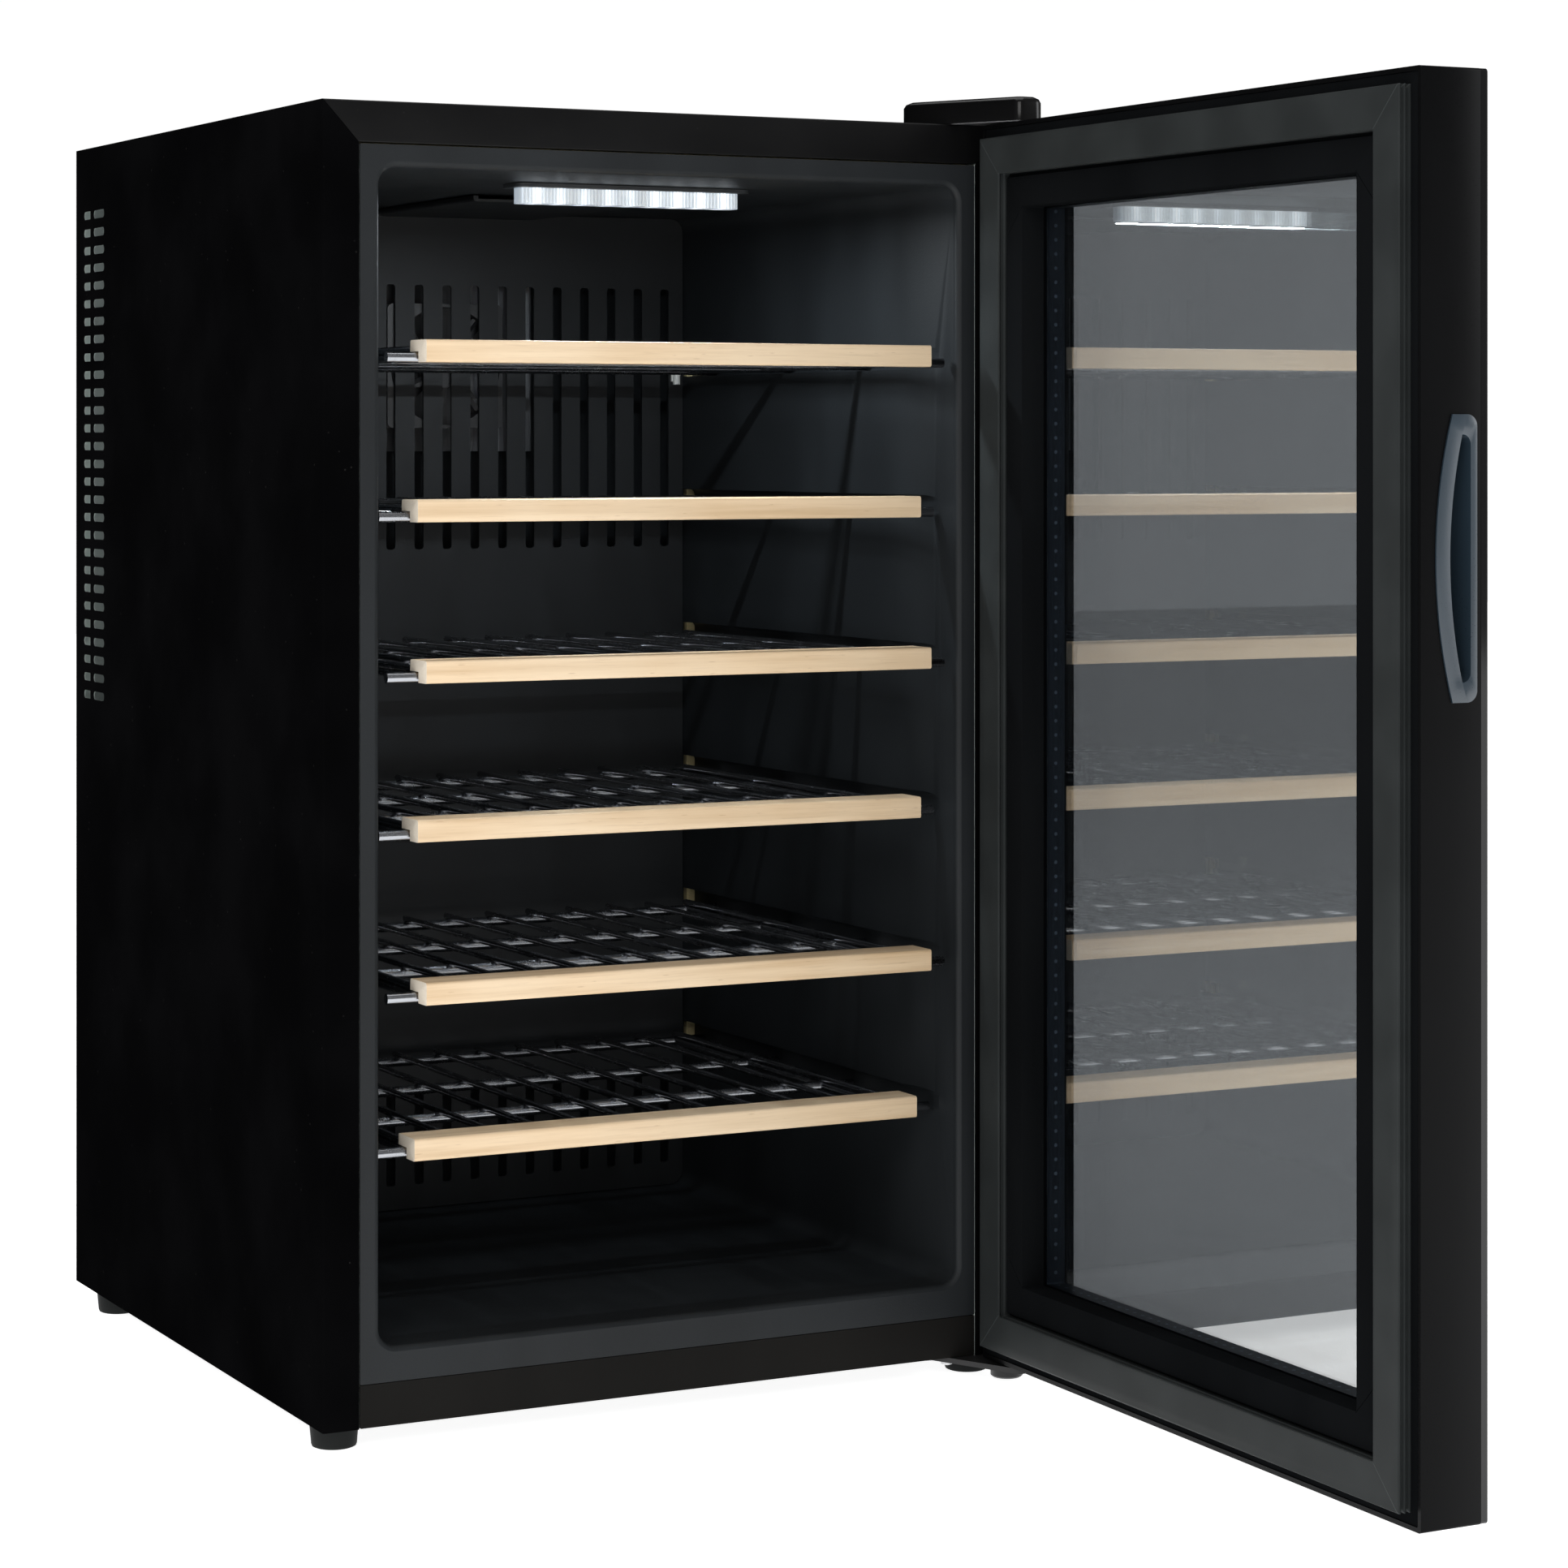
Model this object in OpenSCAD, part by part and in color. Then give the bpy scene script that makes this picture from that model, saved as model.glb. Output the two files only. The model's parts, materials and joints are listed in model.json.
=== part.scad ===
// Free-standing thermoelectric wine cooler: a black steel cabinet with a glazed door on
// its right side and six wire shelves with beech fronts.
// The origin is on the floor, midway between the sides, in the plane of the front edge.
// +X is to the right as seen from the front, +Y runs to the back and +Z is up.
// The door is drawn standing open at a right angle, and shelves 1, 3 and 5 a little pulled out.

/* [Cabinet] */
// Width of the cabinet
cabinet_w = 430; // [428:1:436]
// Depth of the cabinet behind its front edge, without the rear panel
cabinet_d = 448; // [446:1:460]
// Height of the cabinet without its feet
cabinet_h = 726; // [724:1:730]
// Height of the feet
foot_h = 12; // [12:0.5:14]
// Thickness of the outer steel sheet
sheet = 0.8; // [0.6:0.1:1]
// Width of the flange down each side of the front
flange_w = 21.5; // [21:0.5:22]
// Height of the flange along the top of the front
flange_top_h = 23.5; // [23:0.5:24]
// Height of the plinth strip under the opening
plinth_h = 23.9; // [22:0.1:25]

/* [Cold compartment] */
// Width of the opening at the front
opening_w = 363.6; // [362:0.2:364]
// Height of the opening's lower edge above the cabinet's underside
opening_low = 43.3; // [42:0.1:45]
// Distance of the opening's upper edge below the cabinet's top
opening_high = 36; // [35:0.5:37]
// Corner radius of the opening
opening_r = 10; // [8:1:12]
// Wall thickness of the plastic liner
liner_t = 2; // [1.5:0.1:2]
// Distance of the slotted air cover behind the front edge
air_cover_y = 345; // [344:1:346]

/* [Shelves] */
// Distance between two shelves
shelf_pitch = 88.2; // [88:0.1:88.5]
// Height of the top shelf's wooden edge above the cabinet's underside
shelf_top = 595.5; // [594:0.5:597]
// Width of a wooden front
front_w = 317; // [314:1:320]
// Height of a wooden front
front_h = 12.5; // [12:0.1:13]
// Depth of a wooden front
front_d = 24; // [22:0.5:25]
// Distance that the pulled-out shelves stand in front of the others
pulled_out = 12.5; // [5:0.5:14]
// Diameter of the rack's cross bars
bar_d = 6; // [5:0.5:6]
// Diameter of the rack's long wires
wire_d = 4; // [3.5:0.5:4]
// Number of long wires in a rack
wires = 12; // [8:2:14]

/* [Door] */
// Thickness of the door
door_t = 40.7; // [40:0.1:42]
// Gap that the gasket bridges when the door is shut
door_gap = 8; // [7.9:0.1:8.5]
// Width of the gasket
gasket_w = 22; // [20:1:23]
// Distance of the glazing bead's inner edge from the door's edge
sight_edge = 50; // [49:0.5:52]
// Thickness of a pane
pane_t = 4; // [3:0.5:4]

/* [Vents] */
// Number of rows of side vents
vent_rows = 28; // [10:1:28]
// Distance between two rows
vent_pitch = 11.3; // [11:0.1:11.3]
// Height of a vent slot
vent_h = 5.2; // [3:0.1:6]

/* [Hidden] */
$fn = 48;
eps = 0.01;
gap = 0.2;
half_w = cabinet_w / 2;
floor_z = foot_h;
top_z = foot_h + cabinet_h;
lip = 10;
rear_flange = 9.5;
flange_x = half_w - flange_w;
plinth_z = floor_z + plinth_h;

// cold compartment
open_z0 = floor_z + opening_low;
open_z1 = top_z - opening_high;
open_mid = (open_z0 + open_z1) / 2;
open_h = open_z1 - open_z0;
face_y = 0.4;
edge_r = 3;
step_y = 5;
slope_y = 50;
channel_y = 18;
back_y = 370;
wall_front_x = 172.5;
wall_back_x = 169;
wall_inset = 1.5;
channel_x = 179.5;
channel_h = 13.5;

// rear compartment, open to the side vents and the rear grille
rear_y = 386;
rear_z0 = floor_z + 365;
rear_z1 = top_z - 30;
tray_t = 1.2;
vent_z = top_z - 42.7;
vent_back = [423.3, 16];
vent_front = [399.8, 22.7];
panel_y = cabinet_d + 0.1;
grille_x = 204;
cool_z = floor_z + 588;
fan_y0 = 420;
fan_t = 25;
fan_size = 120;
cold_fan_size = 80;
cold_fan_t = 10.4;
shaft_r = 3;
running = 0.05;

// shelves, the first one at the top
shelf_wood_top = [for (i = [0:5]) floor_z + shelf_top - i * shelf_pitch];
shelf_in_y = 2.5;
shelf_front = [for (i = [0:5]) i % 2 == 0 ? shelf_in_y - pulled_out : i == 5 ? shelf_in_y + 5 : shelf_in_y];
bar_half = 175.5;
side_bar_x = 155;
rack_back = 322;

// door, drawn in its own frame: u from the hinge edge, w from the inner face, then z
door_h = cabinet_h - 1.6;
door_z = floor_z + 0.8;
hinge_x = 204.55;
hinge_y = -18.05;
hinge_u = half_w - hinge_x;
hinge_w = -hinge_y - door_gap;
open_x = hinge_x - hinge_w;
open_y = hinge_y + hinge_u;
pin_r = 4;
bush_r = 6;
rim = 2.5;
gasket_edge = 8.5;
gasket_t = door_gap - 0.5;
bead_edge = 32.6;
bead_t = 3;
glazing_edge = 38;
inner_pane_w = 12;
spacer_t = 12;
mid_pane_w = inner_pane_w + pane_t + spacer_t;
outer_pane_w = door_t - pane_t;
web_w = outer_pane_w - 2.7;
handle_z = floor_z + 481.5;
handle_h = 143;
slot_h = 123;
slot_w = [17, 29.5];
handle_w = [8.5, 33.5];
cup_depth = 20;

// hinges: the plates' outline from above, its slanted side to the left
hinge_outline = [[158, 34], [half_w, 34], [half_w, -44], [198, -44]];
plate_t = 3;
hinge_cover_h = 14;

// ---------- shared shapes ----------

// A rectangle centred on the origin with true round corners
module rounded_rect(w, h, r) {
    square([w - 2 * r, h], center = true);
    square([w, h - 2 * r], center = true);
    for (x = [-1, 1], y = [-1, 1])
        translate([x * (w / 2 - r), y * (h / 2 - r)]) circle(r);
}

// A flat shape in X and Z, extruded from y0 to y1
module along_y(y0, y1) {
    translate([0, y1, 0]) rotate([90, 0, 0]) linear_extrude(y1 - y0) children();
}

// A flat shape in Y and Z, extruded from x0 to x1
module along_x(x0, x1) {
    translate([x0, 0, 0]) rotate([90, 0, 90]) linear_extrude(x1 - x0) children();
}

// A block given by its lowest and highest corners
module block(low, high) {
    translate(low) cube(high - low);
}

// A folded sheet: a channel w wide and d long whose front end turns in by the lip's length
module folded_channel(w, d, rear) {
    difference() {
        translate([w / 2, d / 2]) rounded_rect(w, d, 1.4);
        translate([w / 2, d / 2]) rounded_rect(w - 2 * sheet, d - 2 * sheet, 0.6);
        translate([-eps, lip]) square([sheet + 2 * eps, d - 2 * lip]);
        translate([-eps, d - lip - eps]) square([w - rear, lip + 1]);
    }
}

// Moves the door's own frame to the door standing open
module door_open() {
    translate([open_x, open_y, 0]) rotate([0, 0, -90]) children();
}

// A ring in u and z, from the stated distances inside the door's edge, from w0 to w1
module door_ring(outer, inner, w0, w1, r_out = 1, r_in = 1) {
    translate([half_w, 0, door_z + door_h / 2])
        along_y(w0, w1)
            difference() {
                rounded_rect(cabinet_w - 2 * outer, door_h - 2 * outer, r_out);
                rounded_rect(cabinet_w - 2 * inner, door_h - 2 * inner, r_in);
            }
}

// A full plate in u and z, the stated distance inside the door's edge
module door_plate(edge, w0, w1, r = 1) {
    translate([half_w, 0, door_z + door_h / 2])
        along_y(w0, w1) rounded_rect(cabinet_w - 2 * edge, door_h - 2 * edge, r);
}

// ---------- outer cabinet ----------

// Side vents on one side, two slots in every row
module vent_slots() {
    for (row = [0:vent_rows - 1], slot = [vent_back, vent_front])
        along_x(half_w - 2, half_w + 1)
            translate([slot[0], vent_z - row * vent_pitch])
                rounded_rect(slot[1], vent_h, vent_h / 2 - eps);
}

// Everything below the mitre line in the top corners
module below_mitre() {
    slope = flange_top_h / flange_w;
    reach = flange_w + 4;
    along_y(-1, cabinet_d + 1)
        polygon([
            [half_w + 1, 0], [half_w + 1, top_z + slope - gap],
            [half_w - reach, top_z - reach * slope - gap], [half_w - reach, 0]
        ]);
}

module side_panel() {
    difference() {
        intersection() {
            translate([flange_x, 0, floor_z]) linear_extrude(cabinet_h)
                folded_channel(flange_w, cabinet_d, rear_flange);
            below_mitre();
        }
        vent_slots();
    }
}

module side_panel_right() color([0.06, 0.06, 0.065]) side_panel();

module side_panel_left() color([0.06, 0.06, 0.065]) mirror([1, 0, 0]) side_panel();

module top_panel() color([0.07, 0.07, 0.075]) {
    slope = flange_top_h / flange_w;
    reach = flange_w + 4;
    intersection() {
        along_x(-half_w, half_w)
            translate([cabinet_d, top_z - flange_top_h]) rotate(90)
                folded_channel(flange_top_h, cabinet_d, flange_top_h - sheet);
        along_y(-1, cabinet_d + 1)
            polygon([
                [-half_w - 1, top_z + slope], [half_w + 1, top_z + slope],
                [half_w - reach, top_z - reach * slope], [-half_w + reach, top_z - reach * slope]
            ]);
    }
}

module base_pan() color([0.12, 0.12, 0.12]) {
    x = half_w - sheet - gap;
    narrow = flange_x - gap - 0.1;
    block([-x, lip + 0.3, floor_z], [x, cabinet_d - 1, floor_z + 1]);
    block([-narrow, 3, floor_z], [narrow, lip + 0.4, floor_z + 1]);
    block([-narrow, 3, floor_z], [narrow, 4, plinth_z - 2]);
}

module plinth_strip() color([0.12, 0.115, 0.105]) {
    x = flange_x - gap;
    along_y(0.4, 2.4)
        translate([0, (floor_z + plinth_z) / 2])
            rounded_rect(2 * x, plinth_h - 2 * gap, 0.8);
}

module back_panel() color([0.1, 0.1, 0.1]) {
    along_y(panel_y, panel_y + sheet)
        difference() {
            translate([0, (floor_z + top_z) / 2]) rounded_rect(cabinet_w - 4, cabinet_h - 4, 3);
            translate([0, (rear_z0 + rear_z1) / 2])
                square([2 * grille_x, rear_z1 - rear_z0 - 6], center = true);
            translate([147, floor_z + 328]) square([48, 28], center = true);
        }
}

module rear_screws() color([0.35, 0.35, 0.36]) {
    for (x = [-1, 1], z = [floor_z + 12, floor_z + 240, floor_z + 480, top_z - 12])
        translate([x * 208.5, panel_y + sheet, z]) rotate([-90, 0, 0]) screw_head(3.4, 2);
}

// A pan-head screw's head, its flat side on z = 0, with a cross slot
module screw_head(r, h) {
    difference() {
        intersection() {
            cylinder(r = r, h = h);
            translate([0, 0, h - 2 * r]) sphere(2 * r);
        }
        for (a = [0, 90]) rotate(a) translate([-r * 0.55, -r * 0.12, h * 0.45]) cube([r * 1.1, r * 0.24, h]);
    }
}

// One foot: a tapered moulding with a rounded lower edge
module foot(r_top, r_low, h) {
    rotate_extrude($fn = 64)
        polygon([[0, 0], [r_low - 1.5, 0], [r_low - 0.4, 0.5], [r_low, 1.6], [r_top, h], [0, h]]);
}

module feet() color([0.07, 0.075, 0.075]) {
    translate([199, 20, 0]) foot(13.6, 12.8, foot_h - plate_t);
    for (p = [[-201, 20], [-201, 402], [201, 402]]) translate(p) foot(13.6, 12.6, foot_h);
}

// ---------- inner cabinet ----------

// The opening's outline, grown or shrunk all round
module opening_outline(grow = 0) {
    translate([0, open_mid])
        rounded_rect(opening_w + 2 * grow, open_h + 2 * grow, opening_r + grow);
}

// The cavity behind the step, from the slope to the back wall, grown by the liner's thickness
module inner_cavity(grow = 0, deeper = 0) {
    front_x = wall_front_x + grow;
    hull() {
        along_y(slope_y, slope_y + eps)
            translate([0, open_mid])
                rounded_rect(2 * front_x, open_h - 2 * wall_inset + 2 * grow, opening_r, $fn = 32);
        along_y(back_y + deeper - eps, back_y + deeper)
            translate([0, open_mid])
                rounded_rect(2 * (wall_back_x + grow), open_h - 4 * wall_inset + 2 * grow, opening_r, $fn = 32);
    }
}

// The inward slope between the opening's straight lip and the narrower cavity
module cavity_slope(grow = 0) {
    hull() {
        along_y(step_y, step_y + eps) opening_outline(grow, $fn = 32);
        along_y(slope_y, slope_y + eps)
            translate([0, open_mid])
                rounded_rect(2 * (wall_front_x + grow), open_h - 2 * wall_inset + 2 * grow, opening_r, $fn = 32);
    }
}

// The lower edge of the channel that a shelf slides in
function channel_low(wood_top) = wood_top - front_h - 0.6;

// The channels that the shelves slide in
module shelf_channels(grow = 0) {
    for (z = shelf_wood_top)
        translate([0, 0, channel_low(z) + channel_h / 2])
            along_y(channel_y - grow, air_cover_y + 4)
                rounded_rect(2 * (channel_x + grow), channel_h + 2 * grow, 4);
}

// The rounded front edge of the opening, in three steps
module opening_flare() {
    angles = [0, 30, 60, 90];
    for (i = [0:2])
        hull()
            for (a = [angles[i], angles[i + 1]]) {
                y = face_y + edge_r * (1 - cos(a));
                along_y(y - eps, y + eps) opening_outline(edge_r * (1 - sin(a)), $fn = 32);
            }
}

module inner_liner() color([0.15, 0.165, 0.175]) {
    difference() {
        union() {
            along_y(face_y, face_y + liner_t)
                translate([0, (plinth_z + top_z - flange_top_h) / 2])
                    rounded_rect(2 * (flange_x - gap), top_z - flange_top_h - plinth_z - 2 * gap, 0.8);
            along_y(face_y + eps, step_y + eps) opening_outline(liner_t + edge_r - 1);
            cavity_slope(liner_t);
            inner_cavity(liner_t, liner_t);
            shelf_channels(liner_t);
        }
        opening_flare();
        along_y(face_y + edge_r - 1, step_y + 2 * eps) opening_outline();
        cavity_slope();
        inner_cavity();
        shelf_channels();
        translate([0, back_y, cool_z]) cube([44, 20, 44], center = true);
    }
}

module foam_insulation() color([0.85, 0.8, 0.55]) {
    x = half_w - sheet - gap;
    g = liner_t + gap;
    high = open_h / 2 - wall_inset + g;
    difference() {
        block([-x, lip + 0.5, floor_z + 1.2], [x, cabinet_d - lip - 0.5, top_z - sheet - gap]);
        block([-opening_w / 2 - 4.4, -1, open_z0 - 4.4], [opening_w / 2 + 4.4, step_y + 0.3, open_z1 + 4.4]);
        block([-opening_w / 2 - g, 0, open_z0 - g], [opening_w / 2 + g, slope_y + 0.3, open_z1 + g]);
        block([-wall_front_x - g, 0, open_mid - high], [wall_front_x + g, back_y + g, open_mid + high]);
        for (z = shelf_wood_top)
            block([-channel_x - g, 1, channel_low(z) - g], [channel_x + g, air_cover_y + 4 + g, channel_low(z) + channel_h + g]);
        block([-half_w, rear_y - gap, rear_z0 - gap], [half_w, cabinet_d, rear_z1 + gap]);
        block([-23, back_y, cool_z - 23], [23, rear_y + 1, cool_z + 23]);
        block([118, 424, floor_z + 310], [176, cabinet_d, floor_z + 346]);
    }
}

module air_cover() color([0.1, 0.105, 0.11]) {
    width = 2 * wall_back_x - 0.8;
    low = open_z0 + 2 * wall_inset + 0.6;
    high = open_z1 - 2 * wall_inset - 0.3;
    pitch = 19.4;
    along_y(air_cover_y, air_cover_y + 2)
        difference() {
            translate([0, (low + high) / 2]) rounded_rect(width, high - low, 9);
            for (i = [-8:8], band = [[floor_z + 470, floor_z + 640], [floor_z + 62, floor_z + 122]])
                translate([i * pitch, (band[0] + band[1]) / 2]) rounded_rect(6.2, band[1] - band[0], 2);
        }
}

module ceiling_channel() color([0.13, 0.14, 0.145]) {
    high = open_z1 - 2 * wall_inset - 0.1;
    along_y(170, air_cover_y - 0.5)
        difference() {
            translate([3, high]) rounded_rect(116, 7, 2);
            translate([3, high + 3]) square([130, 6], center = true);
            translate([3, high - 0.4]) square([110, 3], center = true);
        }
}

lamp_y = 77;
lamp_z = 697.9;
lamp_w = 141;

module lamp_housing() color([0.16, 0.17, 0.18]) {
    translate([3, lamp_y, lamp_z]) linear_extrude(2.2) rounded_rect(lamp_w + 9, 26, 5);
}

module lamp_board() color([0.9, 0.9, 0.85]) {
    translate([3, lamp_y, lamp_z - 1.6]) linear_extrude(1.6) square([lamp_w - 8, 8], center = true);
    for (i = [-4:4]) translate([3 + i * 15, lamp_y, lamp_z - 2.8]) cube([3.5, 3.5, 2.4 + eps], center = true);
}

module lamp_lens() color([0.92, 0.95, 1, 0.6]) {
    translate([3, lamp_y, lamp_z - 9])
        difference() {
            linear_extrude(9) rounded_rect(lamp_w, 13, 4);
            translate([0, 0, 1.5]) linear_extrude(9) rounded_rect(lamp_w - 3, 10, 2.6);
        }
}

module temperature_sensor() color([0.9, 0.9, 0.88]) {
    translate([163, air_cover_y - 2.6, floor_z + 577]) {
        cylinder(r = 2.4, h = 10);
        translate([0, 0, 10]) sphere(2.4);
        translate([-3, 1.4, 2]) cube([6, 1.2, 6]);
    }
}

// ---------- rear compartment ----------

module compartment_tray() color([0.55, 0.57, 0.57]) {
    x = half_w - sheet - 0.4;
    y1 = cabinet_d - 2.4;
    difference() {
        block([-x, rear_y, rear_z0], [x, rear_y + tray_t, rear_z1]);
        translate([0, rear_y, cool_z]) cube([46, 10, 46], center = true);
    }
    block([-x, rear_y + tray_t - eps, rear_z0], [x, y1, rear_z0 + tray_t]);
    block([-x, rear_y + tray_t - eps, rear_z1 - tray_t], [x, y1, rear_z1]);
}

module rear_grille() color([0.08, 0.08, 0.08]) {
    low = rear_z0 + 3.5;
    high = rear_z1 - 3.5;
    pitch = 10;
    rows = floor((high - low - 16) / pitch);
    along_y(cabinet_d - 1.6, cabinet_d + 0.8)
        difference() {
            translate([0, (low + high) / 2]) square([2 * grille_x - 1, high - low], center = true);
            translate([0, cool_z]) circle(57);
            for (row = [0:rows]) {
                z = low + 9 + row * pitch;
                for (side = [-1, 1]) translate([side * 128, z]) square([118, 6.4], center = true);
                if (abs(z - cool_z) > 64) translate([0, z]) square([128, 6.4], center = true);
            }
        }
}

module fan_guard() color([0.1, 0.1, 0.1]) {
    translate([0, cabinet_d + 2, cool_z]) rotate([90, 0, 0]) {
        for (r = [14, 29, 44, 59]) rotate_extrude($fn = 64) translate([r, 0]) circle(1, $fn = 16);
        for (a = [0, 90]) translate([0, 0, -1.7]) rotate([0, 90, a]) cylinder(r = 1.2, h = 122, center = true, $fn = 16);
    }
}

module hot_sink() color([0.75, 0.76, 0.77]) {
    fins = 21;
    base_y = rear_y + 4.3;
    translate([0, 0, cool_z]) {
        block([-82, base_y, -80], [82, base_y + 5, 80]);
        for (i = [0:fins - 1])
            translate([-82 + i * (164 - 1.4) / (fins - 1), base_y + 5 - eps, -80]) cube([1.4, 22, 160]);
    }
}

// A square fan frame with its motor held on four arms at the far side, about the Y axis
module fan_frame(size, depth, bore_r, hub_r) {
    arm = 3;
    along_y(0, depth)
        difference() {
            rounded_rect(size, size, 4);
            circle(bore_r, $fn = 96);
        }
    along_y(depth - arm, depth) {
        circle(hub_r);
        for (a = [45, 135, 225, 315]) rotate(a) translate([0, -2]) square([bore_r + 1, 4]);
    }
    along_y(depth * 0.35, depth - arm + eps) circle(shaft_r);
}

// A fan's hub and blades, running on the frame's shaft
module fan_rotor(depth, tip_r, hub_r, blades) {
    hub_h = depth - 4.4;
    translate([0, hub_h + 0.8, 0]) rotate([90, 0, 0])
        difference() {
            union() {
                cylinder(r = hub_r, h = hub_h);
                intersection() {
                    cylinder(r = tip_r, h = hub_h, $fn = 96);
                    for (i = [0:blades - 1])
                        rotate(i * 360 / blades)
                            translate([hub_r - 2, 0, hub_h / 2])
                                rotate([35, 0, 0])
                                    cube([tip_r, hub_h * 1.1, 1.4], center = false);
                }
            }
            translate([0, 0, -1]) cylinder(r = shaft_r + running, h = hub_h - 1.5);
        }
}

module hot_fan_frame() color([0.09, 0.09, 0.095])
    translate([0, fan_y0, cool_z]) fan_frame(fan_size, fan_t, 58, 21);

module hot_fan_rotor() color([0.12, 0.12, 0.125])
    translate([0, fan_y0, cool_z]) fan_rotor(fan_t, 56, 20, 7);

module cold_fan_frame() color([0.09, 0.09, 0.095])
    translate([0, air_cover_y + 2.6, cool_z]) fan_frame(cold_fan_size, cold_fan_t, 38, 15);

module cold_fan_rotor() color([0.12, 0.12, 0.125])
    translate([0, air_cover_y + 2.6, cool_z]) fan_rotor(cold_fan_t, 36.5, 14, 7);

module peltier_module() color([0.93, 0.93, 0.9])
    translate([0, rear_y + 2.4, cool_z]) cube([40, 3.8, 40], center = true);

module cold_block() color([0.78, 0.79, 0.8])
    block([-20, back_y - 0.1, cool_z - 20], [20, rear_y + 0.5, cool_z + 20]);

module cold_sink() color([0.75, 0.76, 0.77]) {
    fins = 15;
    translate([0, 0, cool_z]) {
        block([-65, back_y - 4.1, -55], [65, back_y - 0.1, 55]);
        for (i = [0:fins - 1])
            translate([-65 + i * (130 - 1.2) / (fins - 1), back_y - 11, -55]) cube([1.2, 6.9 + eps, 110]);
    }
}

module power_supply() color([0.7, 0.71, 0.7]) {
    low = [-176, 398, rear_z0 + tray_t + 0.2];
    difference() {
        block(low, low + [112, 40, 58]);
        for (i = [0:7]) translate(low + [10 + i * 12.5, 36, 10]) cube([5, 6, 38]);
    }
}

module control_board() color([0.1, 0.35, 0.18]) {
    low = [70, rear_y + 5, rear_z0 + 18];
    block(low, low + [100, 1.6, 70]);
    for (x = [8, 92], z = [8, 62]) translate(low + [x, -3.8, z]) rotate([-90, 0, 0]) cylinder(r = 3, h = 3.9);
    block(low + [12, 1.5, 20], low + [34, 16, 48]);
    block(low + [50, 1.5, 12], low + [80, 9, 30]);
    for (i = [0:3]) translate(low + [46 + i * 11, 1.5, 50]) rotate([-90, 0, 0]) cylinder(r = 4, h = 14);
}

module mains_inlet() color([0.06, 0.06, 0.06]) {
    back = panel_y + sheet;
    translate([147, 0, floor_z + 328]) {
        difference() {
            union() {
                along_y(430, back) rounded_rect(46.6, 26.6, 2);
                along_y(back, back + 2.6) rounded_rect(58, 33, 3);
            }
            along_y(434, back + 3) rounded_rect(24.5, 16.5, 3);
        }
        for (x = [-7, 0, 7]) translate([x - 1, 433.9, x == 0 ? 0.8 : -4.8]) cube([2, 11, 4]);
    }
}

// A flat lead through straight runs between points in X and Z, from y0 to y1
module flat_lead(points, width, y0, y1) {
    along_y(y0, y1)
        for (i = [0:len(points) - 2]) {
            run = points[i + 1] - points[i];
            translate(points[i]) rotate(atan2(run[1], run[0])) translate([0, -width / 2]) square([norm(run), width]);
            if (i > 0) translate(points[i]) circle(width / 2 + gap);
        }
}

module wiring_loom() color([0.75, 0.1, 0.08]) {
    z = rear_z0 + 64;
    flat_lead([[-120, z - 4.5], [-120, z + 40], [-74, z + 70], [-74, cool_z - 30], [-60.3, cool_z - 30]], 4, 427, 431);
    flat_lead([[-63.7, z - 30], [-20, z - 30], [20, z - 20], [85, z - 24]], 4.4, 407.3, 411.7);
}

// ---------- hinges ----------

module hinge_shape(inset, r) {
    offset(r) offset(-inset - r) polygon(hinge_outline);
}

module top_hinge_plate() color([0.4, 0.4, 0.42]) {
    translate([0, 0, top_z])
        difference() {
            linear_extrude(plate_t) hinge_shape(3.2, 3);
            translate([hinge_x, hinge_y, -1]) cylinder(r = pin_r, h = plate_t + 2);
        }
}

module top_hinge_pin() color([0.75, 0.75, 0.76]) {
    translate([hinge_x, hinge_y, top_z - 15]) {
        cylinder(r = pin_r, h = 15 + plate_t);
        translate([0, 0, 15 + plate_t - eps]) cylinder(r = 6.5, h = 2.5);
        translate([0, 0, -1.5 + eps]) cylinder(r1 = 2.6, r2 = pin_r, h = 1.5);
    }
}

module top_hinge_cover() color([0.06, 0.06, 0.065]) {
    translate([0, 0, top_z + 0.3])
        difference() {
            hull() {
                linear_extrude(hinge_cover_h - 3.6) hinge_shape(0, 6);
                linear_extrude(hinge_cover_h - 1.4) hinge_shape(1, 5.5);
                linear_extrude(hinge_cover_h) hinge_shape(3.6, 4);
            }
            translate([0, 0, -eps]) linear_extrude(hinge_cover_h - 2) hinge_shape(2.4, 4);
        }
}

module bottom_hinge_plate() color([0.1, 0.1, 0.1]) {
    translate([0, 0, floor_z - plate_t])
        difference() {
            linear_extrude(plate_t) hinge_shape(1.5, 3);
            translate([hinge_x, hinge_y, -1]) cylinder(r = pin_r, h = plate_t + 2);
        }
}

module bottom_hinge_pin() color([0.2, 0.2, 0.21]) {
    translate([hinge_x, hinge_y, floor_z - plate_t]) {
        cylinder(r = pin_r, h = plate_t + 15);
        translate([0, 0, plate_t + 15 - eps]) cylinder(r1 = pin_r, r2 = 2.6, h = 1.5);
        translate([0, 0, -6.5]) intersection() {
            cylinder(r = 9.5, h = 6.5 + eps);
            translate([0, 0, 12]) sphere(14.5);
        }
    }
}

module hinge_screws() color([0.5, 0.5, 0.52]) {
    for (p = [[176, 24], [204, 24], [204, 6]]) {
        translate([p[0], p[1], top_z + plate_t]) screw_head(4, 2.4);
        translate([p[0], p[1], top_z - 6]) cylinder(r = 2, h = 6 + plate_t + eps);
    }
    for (p = [[173, 20], [178, 6.5]]) {
        translate([p[0], p[1], floor_z - plate_t]) mirror([0, 0, 1]) screw_head(3.6, 2.2);
        translate([p[0], p[1], floor_z - plate_t - eps]) cylinder(r = 1.8, h = plate_t + 6);
    }
}

// ---------- door ----------

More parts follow.
